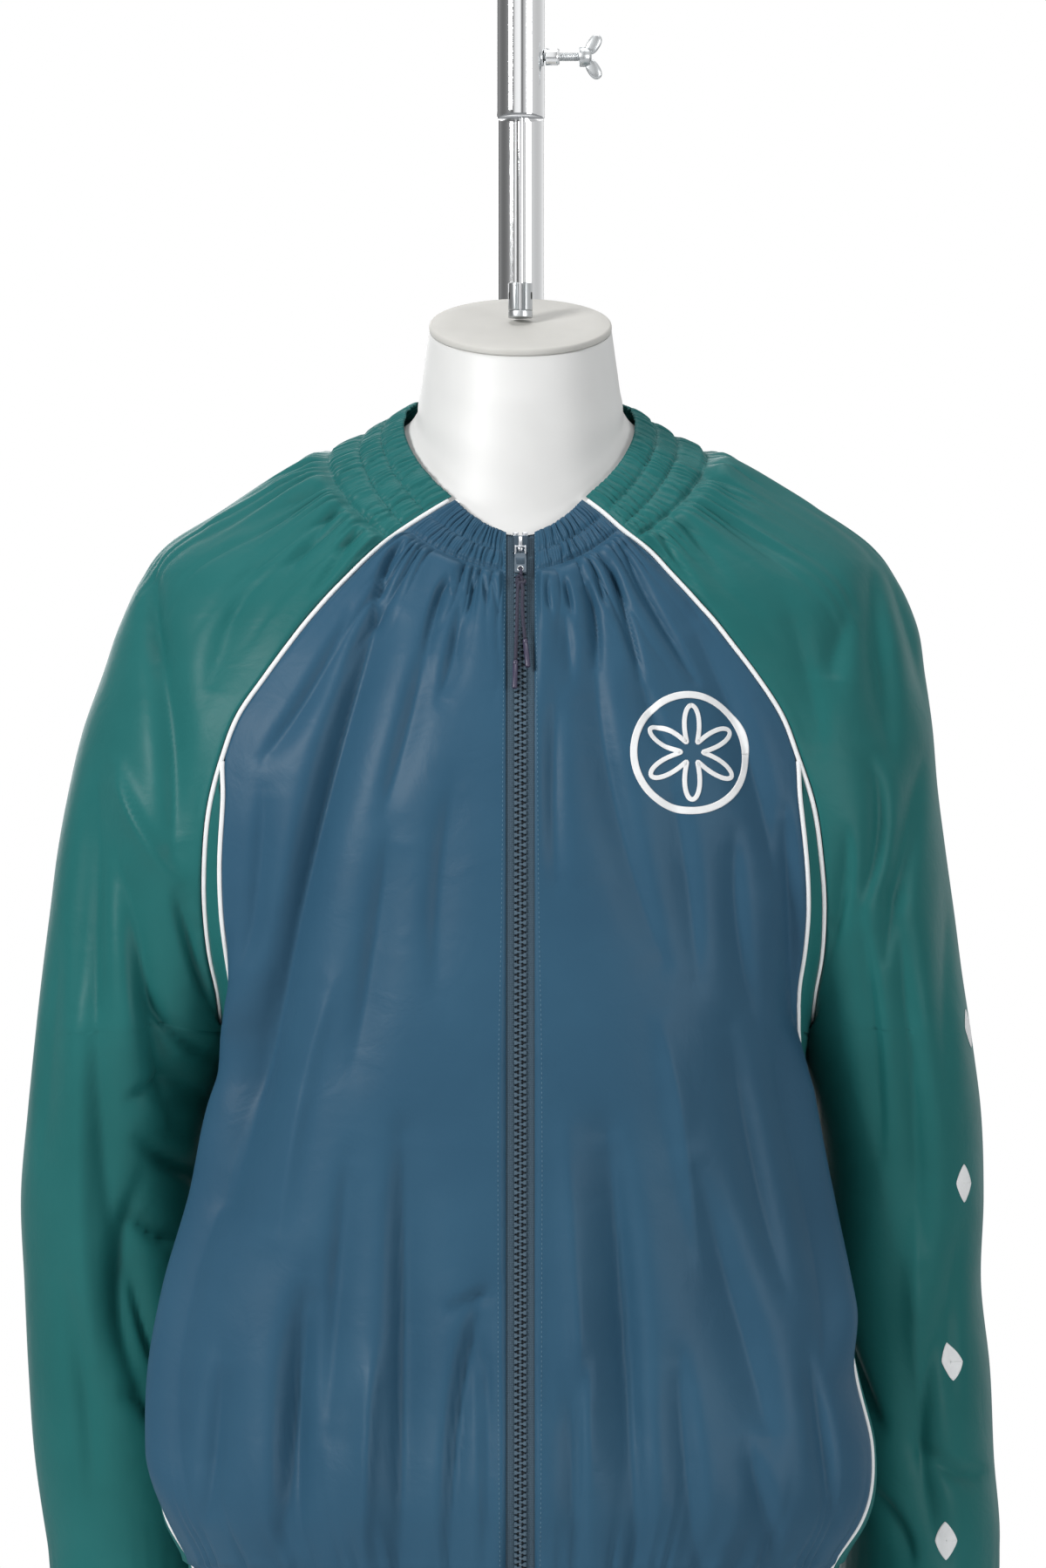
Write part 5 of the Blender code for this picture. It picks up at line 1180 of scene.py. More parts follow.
def sleeve_cloth(side):
    """Grids: angle from the front seam over the outside to the back seam, ring from neck to
    cuff."""
    open_h = np.concatenate([NECK_RINGS, OPEN_RINGS])
    seam = armhole_angle(open_h)
    lines = [armhole_line(side, open_h, rear)[0] for rear in (False, True)]
    loop_h = np.concatenate([open_h, open_h[-2::-1]])
    loop_angle = np.concatenate([seam, 2 * math.pi - seam[-2::-1]])
    normal = surface("sleeve", side, loop_h, loop_angle)[1]
    above = loop_h > UNDERARM_H
    inside = surface("sleeve", side, np.where(above, loop_h, 1.07), np.where(above, math.pi, 0))[0]
    loop = shifted(np.concatenate([lines[0], lines[1][-2::-1]]), normal, inside)
    grids, seed, start, measure = [], 11 if side == "left" else 13, 0, None
    for heights, step, width in ((NECK_RINGS, 1, 10), (OPEN_RINGS, 2, 6)):
        this = armhole_angle(heights)
        angle = between(this, 2 * math.pi - this, 2 * SLEEVE_COLUMNS // step + 1)
        points, normals = surface("sleeve", side, heights[:, None], angle)
        rows = slice(start, start + len(heights))
        points = pull_edge(points, loop[rows], width, False)
        points = pull_edge(points, loop[::-1][rows], width)
        measure = neck_measure(points, heights) if measure is None else measure
        out = neck_gathers(measure[::step], heights[:, None], seed, 3, 0.0056)
        grids.append((points + normals * (out * beside(points))[..., None], normals))
        start += len(heights)
    angle = np.linspace(0, 2 * math.pi, SLEEVE_COLUMNS + 1)[:-1]
    points, normals = surface("sleeve", side, TUBE_RINGS[:, None], angle)
    # the first rings below the armhole start from the shifted seam, so they sink with it
    gap = loop[len(open_h) - 1] - surface("sleeve", side, UNDERARM_H, 0.0)[0]
    sink = (smooth(1 - (UNDERARM_H - TUBE_RINGS) / SINK_REACH)[:, None]
            * smooth(1 - np.minimum(angle, 2 * math.pi - angle) / 0.35))
    points = points + gap * sink[..., None]
    around = lengths(np.concatenate([points, points[:, :1]], 1))[-1][:-1]
    out = elastic_gathers(around, TUBE_RINGS[:, None], CUFF_TOP_H, CUFF_H, seed, 0.0063)
    grids.append((points + normals * out[..., None], normals))
    points, outward, faces, uv = joined(grids)
    # the seam's two ends meet under the arm: the last column's end is the first column's there
    gone = grids[0][0][..., 0].size + grids[1][0][..., 0].size - 1
    index = np.arange(len(points)) - (np.arange(len(points)) > gone)
    index[gone] = gone - SLEEVE_COLUMNS
    points, outward, uv = (np.delete(values, gone, 0) for values in (points, outward, uv))
    cloth("sleeve_" + side, (points, outward, [index[f] for f in faces], uv), GREEN_NYLON)
    return grids


sleeve_grids = {side: sleeve_cloth(side) for side in SIDES}
print("sleeve", [g[0].shape for g in sleeve_grids["left"]])

# %% [markdown]
# ## Piping
# A cord folded into a strip of white cloth stands up in every raglan and side seam. It is a tube
# along the seam's line, turned by the cloth's normals, its middle just under the cloth's face.

# %% Piping
PIPING_SINK, PIPING_END, PIPING_START_H = 0.0003, 0.0012, 1.2665
arm_rings = np.concatenate([runs(NECK_H - PIPING_END, (1.30, 90), (1.13, 60)),
                            UNDERARM_H + 0.035 * np.linspace(1, 0, 26)[1:] ** 1.8])
side_rings = runs(PIPING_START_H, (HEM_H + PIPING_END, 150))
seam_lines = {}
for side in SIDES:
    front, back = (armhole_line(side, arm_rings, rear) for rear in (False, True))
    seam_lines["armhole_piping_" + side] = [np.concatenate([ahead, behind[-2::-1]])
                                            for ahead, behind in zip(front, back)]
    seam_lines["side_piping_front_" + side] = side_line(side, side_rings, False)
    seam_lines["side_piping_back_" + side] = side_line(side, side_rings, True)
for name, (points, normals) in seam_lines.items():
    tube_piece(name + "_trim", points - normals * PIPING_SINK, PIPING_RADIUS, 10, normals,
               WHITE_PIPING, stands_for=name)
print("piping", len(seam_lines))

# %% [markdown]
# ## Zip
# A moulded zip: two woven tapes, a row of plastic teeth on each and a slider. One tooth is an
# outline with a broad foot, a neck and a round head. It is copied along the centre front by
# adding its corners to each place in turn, so the whole chain is one array.


# %% Centre front and tapes
def centre_front(heights):
    """Points, outward normals and downward directions along the centre front."""
    heights = np.asarray(heights, float)
    y = through(BODY, "front_y", heights)
    points = np.column_stack([np.zeros_like(y), y, ring_height(heights, y)])
    down = hat(np.gradient(points, axis=0))
    return points, np.column_stack([np.zeros_like(y), down[:, 2], -down[:, 1]]), down


ZIP_SHORT = 0.0008
ZIP_RINGS = np.concatenate([[NECK_H - ZIP_SHORT], NECK_RINGS[1:], LOW_RINGS[:-1],
                            [HEM_H + ZIP_SHORT]])


def zip_strip(name, left, right, sink, wall, columns, material, stands_for=None):
    """Sheet down the centre front between two distances from the middle, under the cloth's face."""
    points, normals = [], []
    for x in np.linspace(left, right, columns):
        side = SIDES[int(x >= 0)]
        angle = zip_angle(side, ZIP_RINGS, max(abs(x), 0.0002))
        line, normal = surface("body", side, ZIP_RINGS, angle)
        points.append(line - normal * sink)
        normals.append(normal)
    points, normals = np.stack(points, 1), np.stack(normals, 1)
    made = piece(name, points, grid_faces(*points.shape[:2]), material, grid_uv(points), normals,
                 stands_for=stands_for)
    return thicken(made, wall)


zip_strip("tape_left_woven", -0.0125, -0.0030, 0.0009, 0.0007, 9, TAPE, "zip_tape_left")
zip_strip("tape_right_woven", 0.0030, 0.0125, 0.0009, 0.0007, 9, TAPE, "zip_tape_right")
# The near-black sheet under the teeth paints the shade seen between them.
zip_strip("chain_gap_shade", -0.0031, 0.0031, 0.0014, 0.0006, 5, CHAIN_GAP_SHADE)
print("zip rings", len(ZIP_RINGS))

# %% Teeth
TOOTH_PITCH, CHAIN_START, CHAIN_END = 0.0036, 0.0125, 0.0115
# Half of a tooth's outline, from its foot to its head: place across and half width along.
TOOTH = ((-0.0035, 0.0009), (-0.0033, 0.0013), (-0.0020, 0.0013), (-0.0015, 0.0006),
         (-0.0009, 0.0005), (-0.0004, 0.00085), (0.0002, 0.00095), (0.0007, 0.0005))
TOOTH_MIDDLE = np.array((-0.0016, 0.0))
TOOTH_LEVELS = ((1.0, -0.0016), (1.0, 0.0), (0.72, 0.0005))     # size of a ring and its height


def tooth_template():
    """Rings of one outline at three heights; the top ring is drawn in, as a moulded edge is."""
    outline = np.concatenate([TOOTH, np.array(TOOTH)[::-1] * (1, -1)])
    count = len(outline)
    points = np.concatenate([np.column_stack([(outline - TOOTH_MIDDLE) * grow + TOOTH_MIDDLE,
                                              np.full(count, z)]) for grow, z in TOOTH_LEVELS])
    first = 2 * count + np.arange(count // 2)
    last = 3 * count - 1 - np.arange(count // 2)
    cap = np.stack([first[:-1], last[:-1], last[1:], first[1:]], -1)
    return points, [*grid_faces(3, count, 0, True), *cap, np.arange(count)]


def along_line(points, directions, distances):
    """Points and directions at distances along a polyline."""
    run = lengths(points)
    return [np.stack([np.interp(distances, run, a[:, k]) for k in range(3)], -1)
            for a in (points, *directions)]


def copies(template, faces, origins, across, along, up):
    """One mesh of many copies: corner = origin + u * across + v * along + w * up."""
    points = (origins[:, None] + template[None, :, :1] * across[:, None]
              + template[None, :, 1:2] * along[:, None] + template[None, :, 2:] * up[:, None])
    count = template.shape[0]
    every = [[c + i * count for c in face] for i in range(len(origins)) for face in faces]
    return points.reshape(-1, 3), every


line, line_normal, line_down = centre_front(ZIP_RINGS)
zip_long = float(lengths(line)[-1])
spots = np.arange(CHAIN_START, zip_long - CHAIN_END, TOOTH_PITCH / 2)
where, out_there, down_there = along_line(line, (line_normal, line_down), spots)
RIGHT = np.array((1.0, 0.0, 0.0))
sideways = np.where(np.arange(len(spots)) % 2 == 0, 1.0, -1.0)[:, None] * RIGHT
points, faces = copies(*tooth_template(), where, sideways, down_there, out_there)
piece("zip_teeth_row", points, faces, TEETH, smooth=False, stands_for="zip_chain")
print("teeth", len(spots), "zip length", round(zip_long, 3))

# %% [markdown]
# ## Small hardware
# Slider, bridge, stops, pull tab and bottom box are made from one idea: a closed ring of a
# superellipse, |u/a|^p + |v/b|^p = 1, carried along a path while a and b change.


# %% Solids from rings
def solid(name, rings, material, angle=40.0, **where):
    """A closed piece from rings with both ends filled; edges over the angle stay sharp."""
    across = lengths(np.concatenate([rings, rings[:, :1]], 1))[:, :-1]
    down = lengths(np.swapaxes(rings, 0, 1)).mean(axis=0)
    uv = np.stack([across, np.broadcast_to(down[:, None], across.shape)], -1)
    made = piece(name, rings, capped_faces(*rings.shape[:2]), material, uv, **where)
    made.data.set_sharp_from_angle(angle=math.radians(angle))
    return made


def eased(long, edge, steps=4):
    """Places along a bar and how far its sides draw in, so both ends get a rounded edge."""
    turn = np.linspace(0, math.pi / 2, steps + 1)
    start, pull = edge * (1 - np.sin(turn)), edge * (1 - np.cos(turn))
    place = np.concatenate([start[::-1], long - start])
    return place, np.concatenate([pull[::-1], pull])


def bar(name, base, way, long, wide, thick, across, other, material, power=5.0, edge=0.0004,
        sides=28, **where):
    """A straight bar whose half sizes may be tables of (share of the length, half size)."""
    place, pull = eased(long, edge)
    if np.ndim(wide) or np.ndim(thick):
        more = np.linspace(edge * 1.5, long - edge * 1.5, 13)
        place, pull = np.append(place, more), np.append(pull, np.zeros(13))
        order = np.argsort(place)
        place, pull = place[order], pull[order]
    sizes = []
    for value in (wide, thick):
        if np.ndim(value):
            value = np.interp(place / long, *np.transpose(value))
        sizes.append(np.maximum(value - pull, 0.00005))
    path = np.asarray(base, float) + place[:, None] * np.asarray(way, float)
    return solid(name, ring_stack(path, *sizes, across, other, power, sides), material, **where)


def revolve(name, centre, axis, profile, material, sides=48, angle=35.0, **where):
    """Profile of (distance along the axis, radius) carried round the axis."""
    axis, profile = np.asarray(axis, float), np.asarray(profile, float)
    across = np.array((0.0, 1.0, 0.0)) if abs(axis[0]) > 0.5 else RIGHT
    path = np.asarray(centre, float) + profile[:, :1] * axis
    rings = ring_stack(path, profile[:, 1], profile[:, 1], across, np.cross(axis, across), 2.0,
                       sides)
    return solid(name, rings, material, angle, **where)


def rounded(profile, edge, steps=5):
    """Round the corners of a profile: each becomes a quadratic curve between its sides."""
    profile = np.asarray(profile, float)
    out = [profile[:1]]
    t = np.linspace(0, 1, steps)[:, None]
    for before, corner, after in zip(profile[:-2], profile[1:-1], profile[2:]):
        sides = [before - corner, after - corner]
        cut = [corner + s * min(0.5, edge / max(np.linalg.norm(s), 1e-9)) for s in sides]
        out.append((1 - t) ** 2 * cut[0] + 2 * t * (1 - t) * corner + t * t * cut[1])
    return np.concatenate(out + [profile[-1:]])


# %% Slider, bridge and stops
SLIDER_H = 1.4388
CHAIN_FACE = 0.0007       # from the cloth's face to the underside of the slider's top plate
BRIDGE_START, BRIDGE_LONG, BRIDGE_FOOT, BRIDGE_RISE = -0.0055, 0.0104, 0.0013, 0.0021
SLIDER_SHAPE = ((0, 0.0043), (0.35, 0.0045), (0.7, 0.0036), (1, 0.0033))
spot, spot_out, spot_down = (v[1] for v in centre_front([SLIDER_H + 0.002, SLIDER_H,
                                                         SLIDER_H - 0.002]))


def at_slider(u, v, w):
    """Point at u across, v down from the slider's middle and w out of the cloth."""
    return spot + RIGHT * u + spot_down * v + spot_out * w


def slider_bar(name, place, long, wide, thick, material, power, edge, sides=28, **where):
    """A bar that runs down the zip from a place given as at_slider takes it."""
    return bar(name, at_slider(*place), spot_down, long, wide, thick, RIGHT, spot_out, material,
               power, edge, sides, **where)


slider_bar("slider_plate", (0, -0.00625, CHAIN_FACE + 0.0008), 0.0125, SLIDER_SHAPE, 0.0008,
           SLIDER_METAL, 6.0, 0.0005, stands_for="zip_slider")
for side, hand in SIGN.items():
    slider_bar("slider_rim_" + side, (hand * 0.0038, -0.0052, CHAIN_FACE + 0.0006), 0.0104,
               ((0, 0.0005), (1, 0.0005)), 0.0011, SLIDER_METAL, 3.0, 0.0004, 16)
    slider_bar("top_stop_" + side, (hand * 0.0026, -0.0091, 0.0001), 0.0024, 0.0016, 0.0009,
               BRIGHT_METAL, 4.0, 0.0004, 20)
t = np.linspace(0, 1, 21)[:, None]
rise = CHAIN_FACE + BRIDGE_FOOT + BRIDGE_RISE * np.sin(np.pi * t) ** 0.45
bridge_path = at_slider(0, BRIDGE_START + BRIDGE_LONG * t, rise)
tangent = hat(np.gradient(bridge_path, axis=0))
solid("slider_bridge", ring_stack(bridge_path, 0.0011, 0.00038, RIGHT, np.cross(tangent, RIGHT),
                                  3.0, 16), BRIGHT_METAL)
print("slider at", spot.round(4))

# %% Pull tab with its eye
TAB_TOP, TAB_LONG, TAB_HALF, TAB_THICK = 0.00715, 0.0130, 0.0034, 0.00062
TAB_OUT = CHAIN_FACE + 0.0034
EYE_V = TAB_TOP + TAB_LONG - 0.0026
EYE_RADIUS, EYELET_RADIUS, EYELET_WIRE, TAB_SIDES, TAB_POWER = 0.0013, 0.0016, 0.00035, 56, 7
# The tab's section at any angle round its eye, as rows of: 0 at the eye or 1 at the outline, face,
# and how far the corner is drawn back in radius and in thickness.
TAB_EDGE = 0.0002
TAB_SECTION = ((0, -1, 1, 0), (1, -1, -1, 0), (1, -1, 0, 1), (1, 1, 0, -1), (1, 1, -1, 0),
               (0, 1, 1, 0), (0, 1, 0, -1), (0, -1, 0, 1))
turn = np.linspace(0, 2 * math.pi, TAB_SIDES, endpoint=False)
c, s = np.cos(turn), np.sin(turn)
below = np.where(s > 0, TAB_TOP + TAB_LONG - EYE_V, EYE_V - TAB_TOP)
outline = (np.abs(c / TAB_HALF) ** TAB_POWER + np.abs(s / below) ** TAB_POWER) ** (-1 / TAB_POWER)
rings = []
for share, level, in_radius, in_depth in TAB_SECTION:
    radius = (outline if share else EYE_RADIUS) + in_radius * TAB_EDGE
    rings.append(at_slider(0, EYE_V, TAB_OUT) + np.outer(radius * c, RIGHT)
                 + np.outer(radius * s, spot_down)
                 + spot_out * (level * TAB_THICK + in_depth * TAB_EDGE))
index = np.arange(TAB_SIDES * 8).reshape(TAB_SIDES, 8)
far = np.roll(index, -1, 0)
faces = np.stack([index, far, np.roll(far, -1, 1), np.roll(index, -1, 1)], -1).reshape(-1, 4)
tab = piece("tab_plate", np.stack(rings, 1), faces, TAB_METAL, body="puller",
            stands_for="pull_tab")
tab.data.set_sharp_from_angle(angle=math.radians(40))


def ring_piece(name, rings, material, uv=None, **where):
    """A ring of rings: the last one is joined to the first."""
    count, sides = rings.shape[:2]
    faces = grid_faces(count + 1, sides, 0, True) % (count * sides)
    return piece(name, rings, faces, material, uv, **where)


eye_face = at_slider(0, EYE_V, TAB_OUT + TAB_THICK)
t = np.linspace(0, 2 * math.pi, 33)[:-1]
spokes = np.outer(np.cos(t), RIGHT) + np.outer(np.sin(t), spot_down)
ring_piece("tab_eyelet", ring_stack(eye_face + EYELET_RADIUS * spokes, EYELET_WIRE, EYELET_WIRE,
                                    spokes, spot_out, 2.0, 8), BRIGHT_METAL, body="puller")
for side, hand in SIGN.items():
    slider_bar("tab_ear_" + side, (hand * 0.0028, TAB_TOP - 0.0052, TAB_OUT), 0.0058, 0.00055,
               0.0006, BRIGHT_METAL, 3.0, 0.0003, 14)
bar("tab_pin", at_slider(-0.0031, TAB_TOP - 0.0046, TAB_OUT), RIGHT, 0.0062, 0.00055, 0.00055,
    spot_down, spot_out, BRIGHT_METAL, 2.0, 0.0002, 14)
slider_bar("tab_inlay", (0, TAB_TOP + 0.0031, TAB_OUT + 0.0006), 0.0044, 0.0024, 0.00022,
           SLIDER_METAL, 6.0, 0.0002, body="puller")
foot, foot_out, foot_down = (v[1] for v in centre_front([0.7625, 0.7605, 0.7585]))
bar("bottom_box", foot - foot_down * 0.004 + foot_out * (CHAIN_FACE + 0.0013), foot_down, 0.008,
    0.0045, 0.0014, RIGHT, foot_out, TEETH, 6.0, 0.0006, stands_for="zip_box")
print("tab", len(tab.data.vertices))

# %% [markdown]
# ## Cord on the tab
# A short round cord goes through the tab's eye, is knotted just under it and ends in two moulded
# tips. The knot is a three-lobed knot curve, which lies as a tight overhand knot does.

# %% Cords
CORD_RADIUS, TIP_RADIUS, TIP_LENGTH, CORD_LIFT = 0.00105, 0.0015, 0.017, 0.0034
CORD_ROUTES = {
    "long":  ((-0.0006, 1.3462), (-0.0012, 1.3431), (-0.0016, 1.3350), (-0.0018, 1.3240),
              (-0.0022, 1.3130), (-0.0026, 1.3020)),
    "short": ((0.0006, 1.3462), (0.0012, 1.3429), (0.0011, 1.3340), (0.0016, 1.3240),
              (0.0026, 1.3140)),
}


def on_front(x, z):
    """Point and normal on the smooth front at X and Z; the ring's height is found by steps."""
    side = "left" if np.mean(x) < 0 else "right"
    x, z = np.broadcast_arrays(np.maximum(np.abs(x), 0.0005), np.asarray(z, float))
    h = z.copy()
    for _ in range(40):
        h = np.clip(h + z - body_base(side, h, zip_angle(side, h, x))[..., 2], HEM_H, NECK_H)
    return surface("body", side, h, zip_angle(side, h, x))


def smooth_line(points, count):
    """Points evenly along the cubic through a few points."""
    points = np.asarray(points, float)
    length = lengths(points)
    return cubic(np.linspace(0, length[-1], count), length, points)


GROOVE_AT, GROOVE_DEEP = 0.0026, 0.0003      # a fine groove round each moulded tip
for name, route in CORD_ROUTES.items():
    base, normal = on_front(*np.transpose(route))
    path = smooth_line(base + normal * CORD_LIFT, 34)
    cord = tube_piece("braid_" + name, path, CORD_RADIUS, 12, normal[0], CORD, body="puller",
                      stands_for="cord_" + name)
    way = hat(path[-1] - path[-2])
    place, pull = eased(TIP_LENGTH, 0.0007)
    stations = np.sort(np.append(place, (GROOVE_AT - 0.0004, GROOVE_AT, GROOVE_AT + 0.0004)))
    radius = np.interp(stations, place, TIP_RADIUS - pull)
    radius = radius - GROOVE_DEEP * (np.abs(stations - GROOVE_AT) < 1e-5)
    across = hat(np.cross(way, RIGHT))
    rings = ring_stack(path[-1] + way * 0.0003 + stations[:, None] * way, radius, radius, across,
                       np.cross(way, across), 2.0, 18)
    tip = solid("tip_" + name, rings, CORD_TIP, 50.0, body="puller", stands_for="cord_tip_" + name)
    long = float(lengths(path)[-1])
    print(name, "cord", round(long, 4))

# %% Knot and loop
KNOT_V, KNOT_OUT, KNOT_HALF, KNOT_WIRE = 0.0252, 0.0026, (0.00083, 0.00118, 0.00105), 0.00098
turns = np.linspace(0, 2 * math.pi, 97)[:-1, None]
lobes = 2.0 + np.cos(3 * turns)
knot_path = at_slider(lobes * np.cos(2 * turns) * KNOT_HALF[0],
                      KNOT_V + lobes * np.sin(2 * turns) * KNOT_HALF[1],
                      CHAIN_FACE + KNOT_OUT + np.sin(3 * turns) * KNOT_HALF[2])
knot_uv = np.stack(np.broadcast_arrays(np.linspace(0, 0.0066, 10),
                                       np.linspace(0, 0.05, 96)[:, None]), -1)
knot = ring_piece("knotted_cord", round_rings(knot_path, KNOT_WIRE, 10, spot_out), CORD, knot_uv,
                  body="puller", stands_for="cord_knot")
# The loop through the tab's eye: across, down and out, the last from the cloth's face.
EYE_LOOP = ((0.0004, 0.0222, CHAIN_FACE + 0.0042), (0.0004, 0.0198, TAB_OUT + 0.0017),
            (0.0001, 0.0183, TAB_OUT + 0.0011), (0, EYE_V, TAB_OUT),
            (-0.0001, 0.0183, TAB_OUT - 0.0012), (-0.0004, 0.0198, TAB_OUT - 0.0015),
            (-0.0004, 0.0222, CHAIN_FACE + 0.0018))
loop_path = smooth_line([at_slider(*place) for place in EYE_LOOP], 30)
tube_piece("eye_loop", loop_path, 0.0009, 10, RIGHT, CORD, body="puller")
print("knot", len(knot.data.vertices))

# %% [markdown]
# ## Stitches
# Each stitch is a tiny lens of thread lying in the cloth. Rows of them follow rows and columns of
# the cloth's own grid, so they dip into the gathers with it. The blue and green threads are darker
# than the cloth: their colour holds painted shade along each row as well as the thread's own tone.

# %% Stitch rows
STITCH_PITCH, STITCH_LONG, STITCH_WIDE, STITCH_PROUD = 0.0027, 0.0019, 0.0005, 0.00028


def stitch_row(line, normals):
    """Lenses at even distances along a line.

    Corner = place + u * tangent + v * side + w * normal.
    """
    spots = np.arange(STITCH_PITCH, lengths(line)[-1] - STITCH_PITCH, STITCH_PITCH)
    tangents = hat(np.gradient(line, axis=0))
    place, up, way = along_line(line, (normals, tangents), spots)
    shape = np.array(((-1, 0, 0), (0, -1, 0), (1, 0, 0), (0, 1, 0), (0, 0, 1), (0, 0, -1))) \
        * (STITCH_LONG / 2, STITCH_WIDE / 2, STITCH_PROUD)
    faces = [(0, 1, 4), (1, 2, 4), (2, 3, 4), (3, 0, 4), (1, 0, 5), (2, 1, 5), (3, 2, 5), (0, 3, 5)]
    return copies(shape, faces, place, way, hat(np.cross(way, up)), up)


def stitches(name, rows, material):
    """Join several rows of stitches into one piece."""
    points, faces, start = [], [], 0
    for line, normals in rows:
        made, made_faces = stitch_row(line, normals)
        points.append(made)
        faces += [[c + start for c in face] for face in made_faces]
        start += len(made)
    return piece(name, np.concatenate(points), faces, material)


def ring_rows(grid, heights, levels):
    """The grid's rows nearest to some heights."""
    points, normals = grid
    index = [int(np.abs(heights - level).argmin()) for level in levels]
    return [(points[i], normals[i]) for i in index]


STEP = (NECK_H - BAND_H) / 2
NECK_LEVELS = (NECK_H - STEP, BAND_H)
HEM_LEVELS = (HEM_TOP_H, HEM_H + 0.021)
for side in SIDES:
    neck, low = front_grids[side]
    rows = ring_rows(neck, NECK_RINGS, NECK_LEVELS) + ring_rows(low, LOW_RINGS, HEM_LEVELS)
    stitches("front_stitching_" + side, rows, SHADED_THREAD_BLUE)
    beside_zip = [np.concatenate([neck[i][:, 2], low[i][:, 1]]) for i in (0, 1)]
    stitches("zip_stitching_" + side, [beside_zip], THREAD_LIGHT)
    neck, upper, low = sleeve_grids[side]
    rows = ring_rows(neck, NECK_RINGS, (*NECK_LEVELS, BAND_H - STEP))
    closed = [np.concatenate([g, g[:, :1]], 1) for g in low]
    rows += ring_rows(closed, TUBE_RINGS, (CUFF_TOP_H, CUFF_H + 0.02))
    stitches("sleeve_stitching_" + side, rows, SHADED_THREAD_GREEN)
    rows = ring_rows(side_grids[side], SIDE_LOW_RINGS, HEM_LEVELS)
    stitches("side_stitching_" + side, rows, SHADED_THREAD_GREEN)
rows = ring_rows(back_grid[0], NECK_RINGS, NECK_LEVELS)
rows += ring_rows(back_grid[1], LOW_RINGS, HEM_LEVELS)
stitches("back_stitching", rows, SHADED_THREAD_BLUE)
print("stitching done")

# %% [markdown]
# ## Print
# The chest carries a plain rosette in a ring and the sleeve a row of plain lozenges. They are
# ribbons and patches whose points are found on the cloth, so they follow its creases.

# %% Rosette and lozenges
ROSETTE_X, ROSETTE_Z, ROSETTE_R, STROKE, PETAL_STROKE = 0.0958, 1.2520, 0.0347, 0.0040, 0.0026
PRINT_PROUD, PRINT_THICK = 0.00035, 0.00025
LOZENGE_WIDE, LOZENGE_TALL, LOZENGE_POWER = 0.013, 0.022, 1.25
# Places of the lozenges' middles down the right sleeve, in X and Z.
LOZENGES = ((0.255955, 1.097608), (0.25347, 1.009142), (0.2485, 0.90676), (0.244027, 0.804378))


def printed(name, points, normals):
    """A thin sheet of white print just off the cloth, from a grid on its surface."""
    made = piece(name, points + normals * PRINT_PROUD, grid_faces(*points.shape[:2]), PRINT,
                 grid_uv(points), normals)
    return thicken(made, PRINT_THICK)


def print_ribbon(name, x, z, wide):
    """Closed ribbon round a curve in X and Z: curve + offset * its own sideways direction."""
    way = np.stack([np.gradient(x), np.gradient(z)], -1)
    way[0] = way[-1] = way[1] / 2 + way[-2] / 2
    way = hat(way)
    offset = np.linspace(-0.5, 0.5, 7) * wide
    printed(name, *on_front(ROSETTE_X + x[:, None] - way[:, 1:] * offset,
                            ROSETTE_Z + z[:, None] + way[:, :1] * offset))


turn = np.linspace(0, 2 * math.pi, 145)
radius = ROSETTE_R - STROKE / 2
print_ribbon("chest_ring", radius * np.cos(turn), radius * np.sin(turn), STROKE)
turn = np.linspace(0, 2 * math.pi, 241)
petal = (radius - 0.0062) * (0.62 + 0.38 * np.cos(6 * turn))
print_ribbon("chest_rosette", petal * np.sin(turn), petal * np.cos(turn), PETAL_STROKE)

# A lozenge with rounded corners: |u/a|^1.25 + |v/b|^1.25 = 1, u round the sleeve and v down it.
turn = np.linspace(0, 2 * math.pi, 65)
c, s = np.cos(turn), np.sin(turn)
share = np.linspace(0.02, 1, 9)[:, None] * (np.abs(c) ** LOZENGE_POWER + np.abs(s) ** LOZENGE_POWER
                                            ) ** (-1 / LOZENGE_POWER)
for number, (x, z) in enumerate(LOZENGES, 1):
    outer, half = float(through(SLEEVE, "outer_right", z)), float(through(TUBE, "half_right", z))
    angle = math.acos(float(np.clip((outer - half - x) / half, -1, 1)))
    printed("sleeve_lozenge_%d" % number,
            *surface("sleeve", "right", z + share * s * LOZENGE_TALL / 2,
                     angle + share * c * LOZENGE_WIDE / (2 * half)))
print("print done")

# %% [markdown]
# ## Torso form
# A limbless moulded form carries the jacket. Its rings follow the same saddle as the cloth's, a
# little inside it, and its neck is cut off by a sloping cap.

# %% Torso form
FORM = {
    "h":          (1.4985, 1.4765, 1.4575, 1.4435, 1.437, 1.430, 1.4235, 1.414, 1.4035, 1.393,
                   1.3745, 1.350, 1.31, 1.26, 1.20, 1.13, 1.06, 0.99, 0.92, 0.85,
                   0.78, 0.72, 0.68),
    "half_width": (0.0525, 0.0555, 0.0585, 0.0630, 0.0733, 0.0865, 0.1010, 0.1210, 0.1415, 0.1620,
                   0.1850, 0.1915, 0.1860, 0.1700, 0.1570, 0.1500, 0.1420, 0.1360, 0.1390, 0.1450,
                   0.1480, 0.1480, 0.1450),
    "front_y":    (-0.0560, -0.0590, -0.0610, -0.0660, -0.0725, -0.0795, -0.0850, -0.0890, -0.0930,
                   -0.0950, -0.0990, -0.1020, -0.1055, -0.1090, -0.1110, -0.1090, -0.1020, -0.0940,
                   -0.0920, -0.0940, -0.0950, -0.0940, -0.0920),
    "back_y":     (0.0560, 0.0590, 0.0620, 0.0660, 0.0740, 0.0800, 0.0850, 0.0890, 0.0920,
                   0.0940, 0.0970, 0.0990, 0.1000, 0.0990, 0.0960, 0.0910, 0.0820, 0.0760,
                   0.0800, 0.0860, 0.0860, 0.0850, 0.0830),
}
CAP_TILT = 0.36
FORM_POWER_TOP, FORM_POWER_LOW, FORM_SINK = 1.75, 1.95, 0.0020
